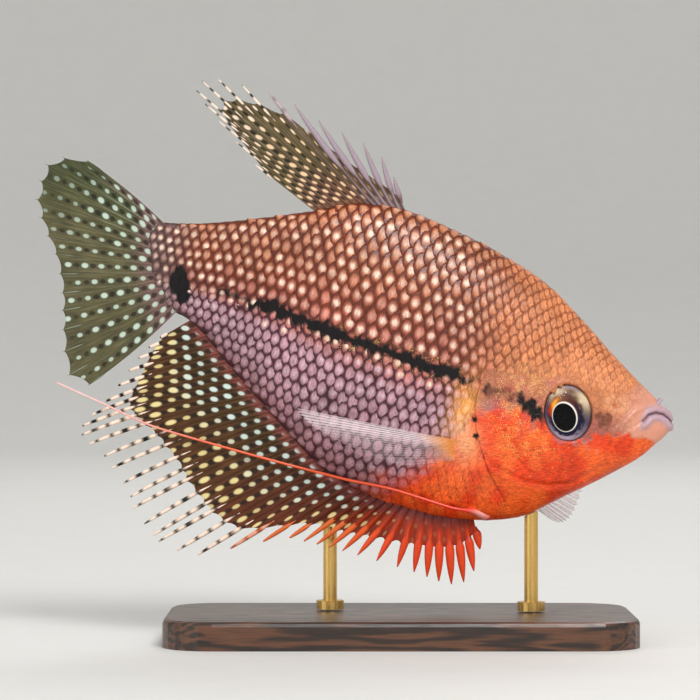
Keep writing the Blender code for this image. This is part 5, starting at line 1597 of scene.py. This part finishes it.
class GouramiStage(PropertyGroup):
    floor: colour_property("Floor", "The pale floor", 232, 230, 226)
    key: FloatProperty(name="Key light", description="Power of the key light, in watts", default=11.5, min=0.0)
    fill: FloatProperty(name="Fill light", description="Power of the fill light, in watts", default=3.0, min=0.0)
    rim: FloatProperty(name="Rim light", description="Power of the rim light, in watts", default=2.4, min=0.0)
    room: FloatProperty(name="Room light", description="Strength of the room's own light", default=0.52, min=0.0)


class GOURAMI_OT_stage(Operator):
    """A pale seamless floor, soft lights and the camera at the photo's angle"""

    bl_idname = "gourami.stage"
    bl_label = "Stage"

    def execute(self, context):
        look = context.scene.gourami_stage
        material, tree, shader = new_material("pale_floor", roughness=0.7)
        fibre = {"Vector": object_place(tree), "Scale": 90.0, "Detail": 5.0}
        paper = node(tree, "ShaderNodeTexNoise", fibre).outputs[0]
        darker = tuple(c * 0.985 for c in look.floor)
        tint = mixed(tree, fade(tree, paper, 0.3, 0.7), darker, tuple(look.floor))
        tree.links.new(tint, shader.inputs["Base Color"])

        # A dish round the stand: flat in the middle, curving up and over on all sides.
        turn = np.linspace(0, 2 * math.pi, 96, endpoint=False)
        bend = np.linspace(0, math.pi * 0.5, 24)
        out = np.concatenate([[0.001, 0.4, 0.8], 1.0 + 0.8 * np.sin(bend[1:]), [1.8]])
        up = np.concatenate([[0, 0, 0], 0.8 * (1 - np.cos(bend[1:])), [2.6]])
        points = np.stack([out[:, None] * np.cos(turn), out[:, None] * np.sin(turn), up[:, None] + 0 * turn], axis=-1)
        mesh = bpy.data.meshes.new("floor")
        faces = grid_faces(len(out), len(turn), around=True)[:, ::-1]
        mesh.from_pydata(points.reshape(-1, 3).tolist(), [], faces.tolist())
        mesh.shade_smooth()
        mesh.materials.append(material)
        floor = bpy.data.objects.new("floor", mesh)
        bpy.context.scene.collection.objects.link(floor)

        aim = Vector((PHOTO_CENTRE_X, 0.0, PHOTO_CENTRE_Z))
        for name, spot, size, power in (
            ("key_light", (0.3, -0.95, 0.85), 0.45, look.key),
            ("fill_light", (-0.9, -0.6, 0.3), 0.8, look.fill),
            ("rim_light", (0.15, 0.8, 0.75), 0.5, look.rim),
        ):
            light = bpy.data.lights.new(name, "AREA")
            light.energy, light.size = power, size
            lamp = bpy.data.objects.new(name, light)
            lamp.location = spot
            lamp.rotation_euler = (aim - Vector(spot)).to_track_quat("-Z", "Y").to_euler()
            bpy.context.scene.collection.objects.link(lamp)
        world = bpy.data.worlds.new("room")
        world.use_nodes = True
        world.node_tree.nodes["Background"].inputs["Color"].default_value = (0.9, 0.95, 1.0, 1.0)
        world.node_tree.nodes["Background"].inputs["Strength"].default_value = look.room
        bpy.context.scene.world = world
        bpy.context.scene.view_settings.view_transform = "Standard"

        camera = bpy.data.cameras.new("photo_camera")
        camera.sensor_width = SENSOR
        camera.lens = SENSOR * CAMERA_DISTANCE / PHOTO_WIDTH
        camera.clip_start = 0.01
        camera.dof.use_dof = False
        eye = bpy.data.objects.new("photo_camera", camera)
        eye.location = (PHOTO_CENTRE_X, -CAMERA_DISTANCE, PHOTO_CENTRE_Z)
        eye.rotation_euler = (math.pi / 2, 0.0, 0.0)
        bpy.context.scene.collection.objects.link(eye)
        bpy.context.scene.camera = eye
        return {"FINISHED"}


# ---- Add-on ----


class GOURAMI_PT_panel(Panel):
    """A button for each operator, and under them the sizes and colours"""

    bl_idname = "GOURAMI_PT_panel"
    bl_label = "Gourami"
    bl_space_type = "VIEW_3D"
    bl_region_type = "UI"
    bl_category = "Gourami"

    def draw(self, context):
        for operator in OPERATORS:
            self.layout.operator(operator.bl_idname)
        for key, group in SETTINGS.items():
            box = self.layout.box()
            box.label(text=key.replace("_", " ").capitalize())
            for field in group.__annotations__:
                box.prop(getattr(context.scene, key), field)


SETTINGS = {
    "gourami_skin": GouramiSkin,
    "gourami_scales": GouramiScales,
    "gourami_eyes": GouramiEyes,
    "gourami_fins": GouramiFins,
    "gourami_stand": GouramiStand,
    "gourami_stage": GouramiStage,
}
OPERATORS = (
    GOURAMI_OT_skin,
    GOURAMI_OT_scales,
    GOURAMI_OT_eyes,
    GOURAMI_OT_back_and_anal_fins,
    GOURAMI_OT_tail_fin,
    GOURAMI_OT_side_fins,
    GOURAMI_OT_feelers,
    GOURAMI_OT_stand,
    GOURAMI_OT_stage,
)


def register():
    for entry in (*SETTINGS.values(), *OPERATORS, GOURAMI_PT_panel):
        bpy.utils.register_class(entry)
    for key, group in SETTINGS.items():
        setattr(bpy.types.Scene, key, PointerProperty(type=group))


def unregister():
    for key in SETTINGS:
        delattr(bpy.types.Scene, key)
    for entry in reversed((*SETTINGS.values(), *OPERATORS, GOURAMI_PT_panel)):
        bpy.utils.unregister_class(entry)


def main():
    register()
    bpy.ops.gourami.skin()
    bpy.ops.gourami.scales()
    bpy.ops.gourami.eyes()
    bpy.ops.gourami.back_and_anal_fins()
    bpy.ops.gourami.tail_fin()
    bpy.ops.gourami.side_fins()
    bpy.ops.gourami.feelers()
    bpy.ops.gourami.stand()
    bpy.ops.gourami.stage()


if __name__ == "__main__":
    main()
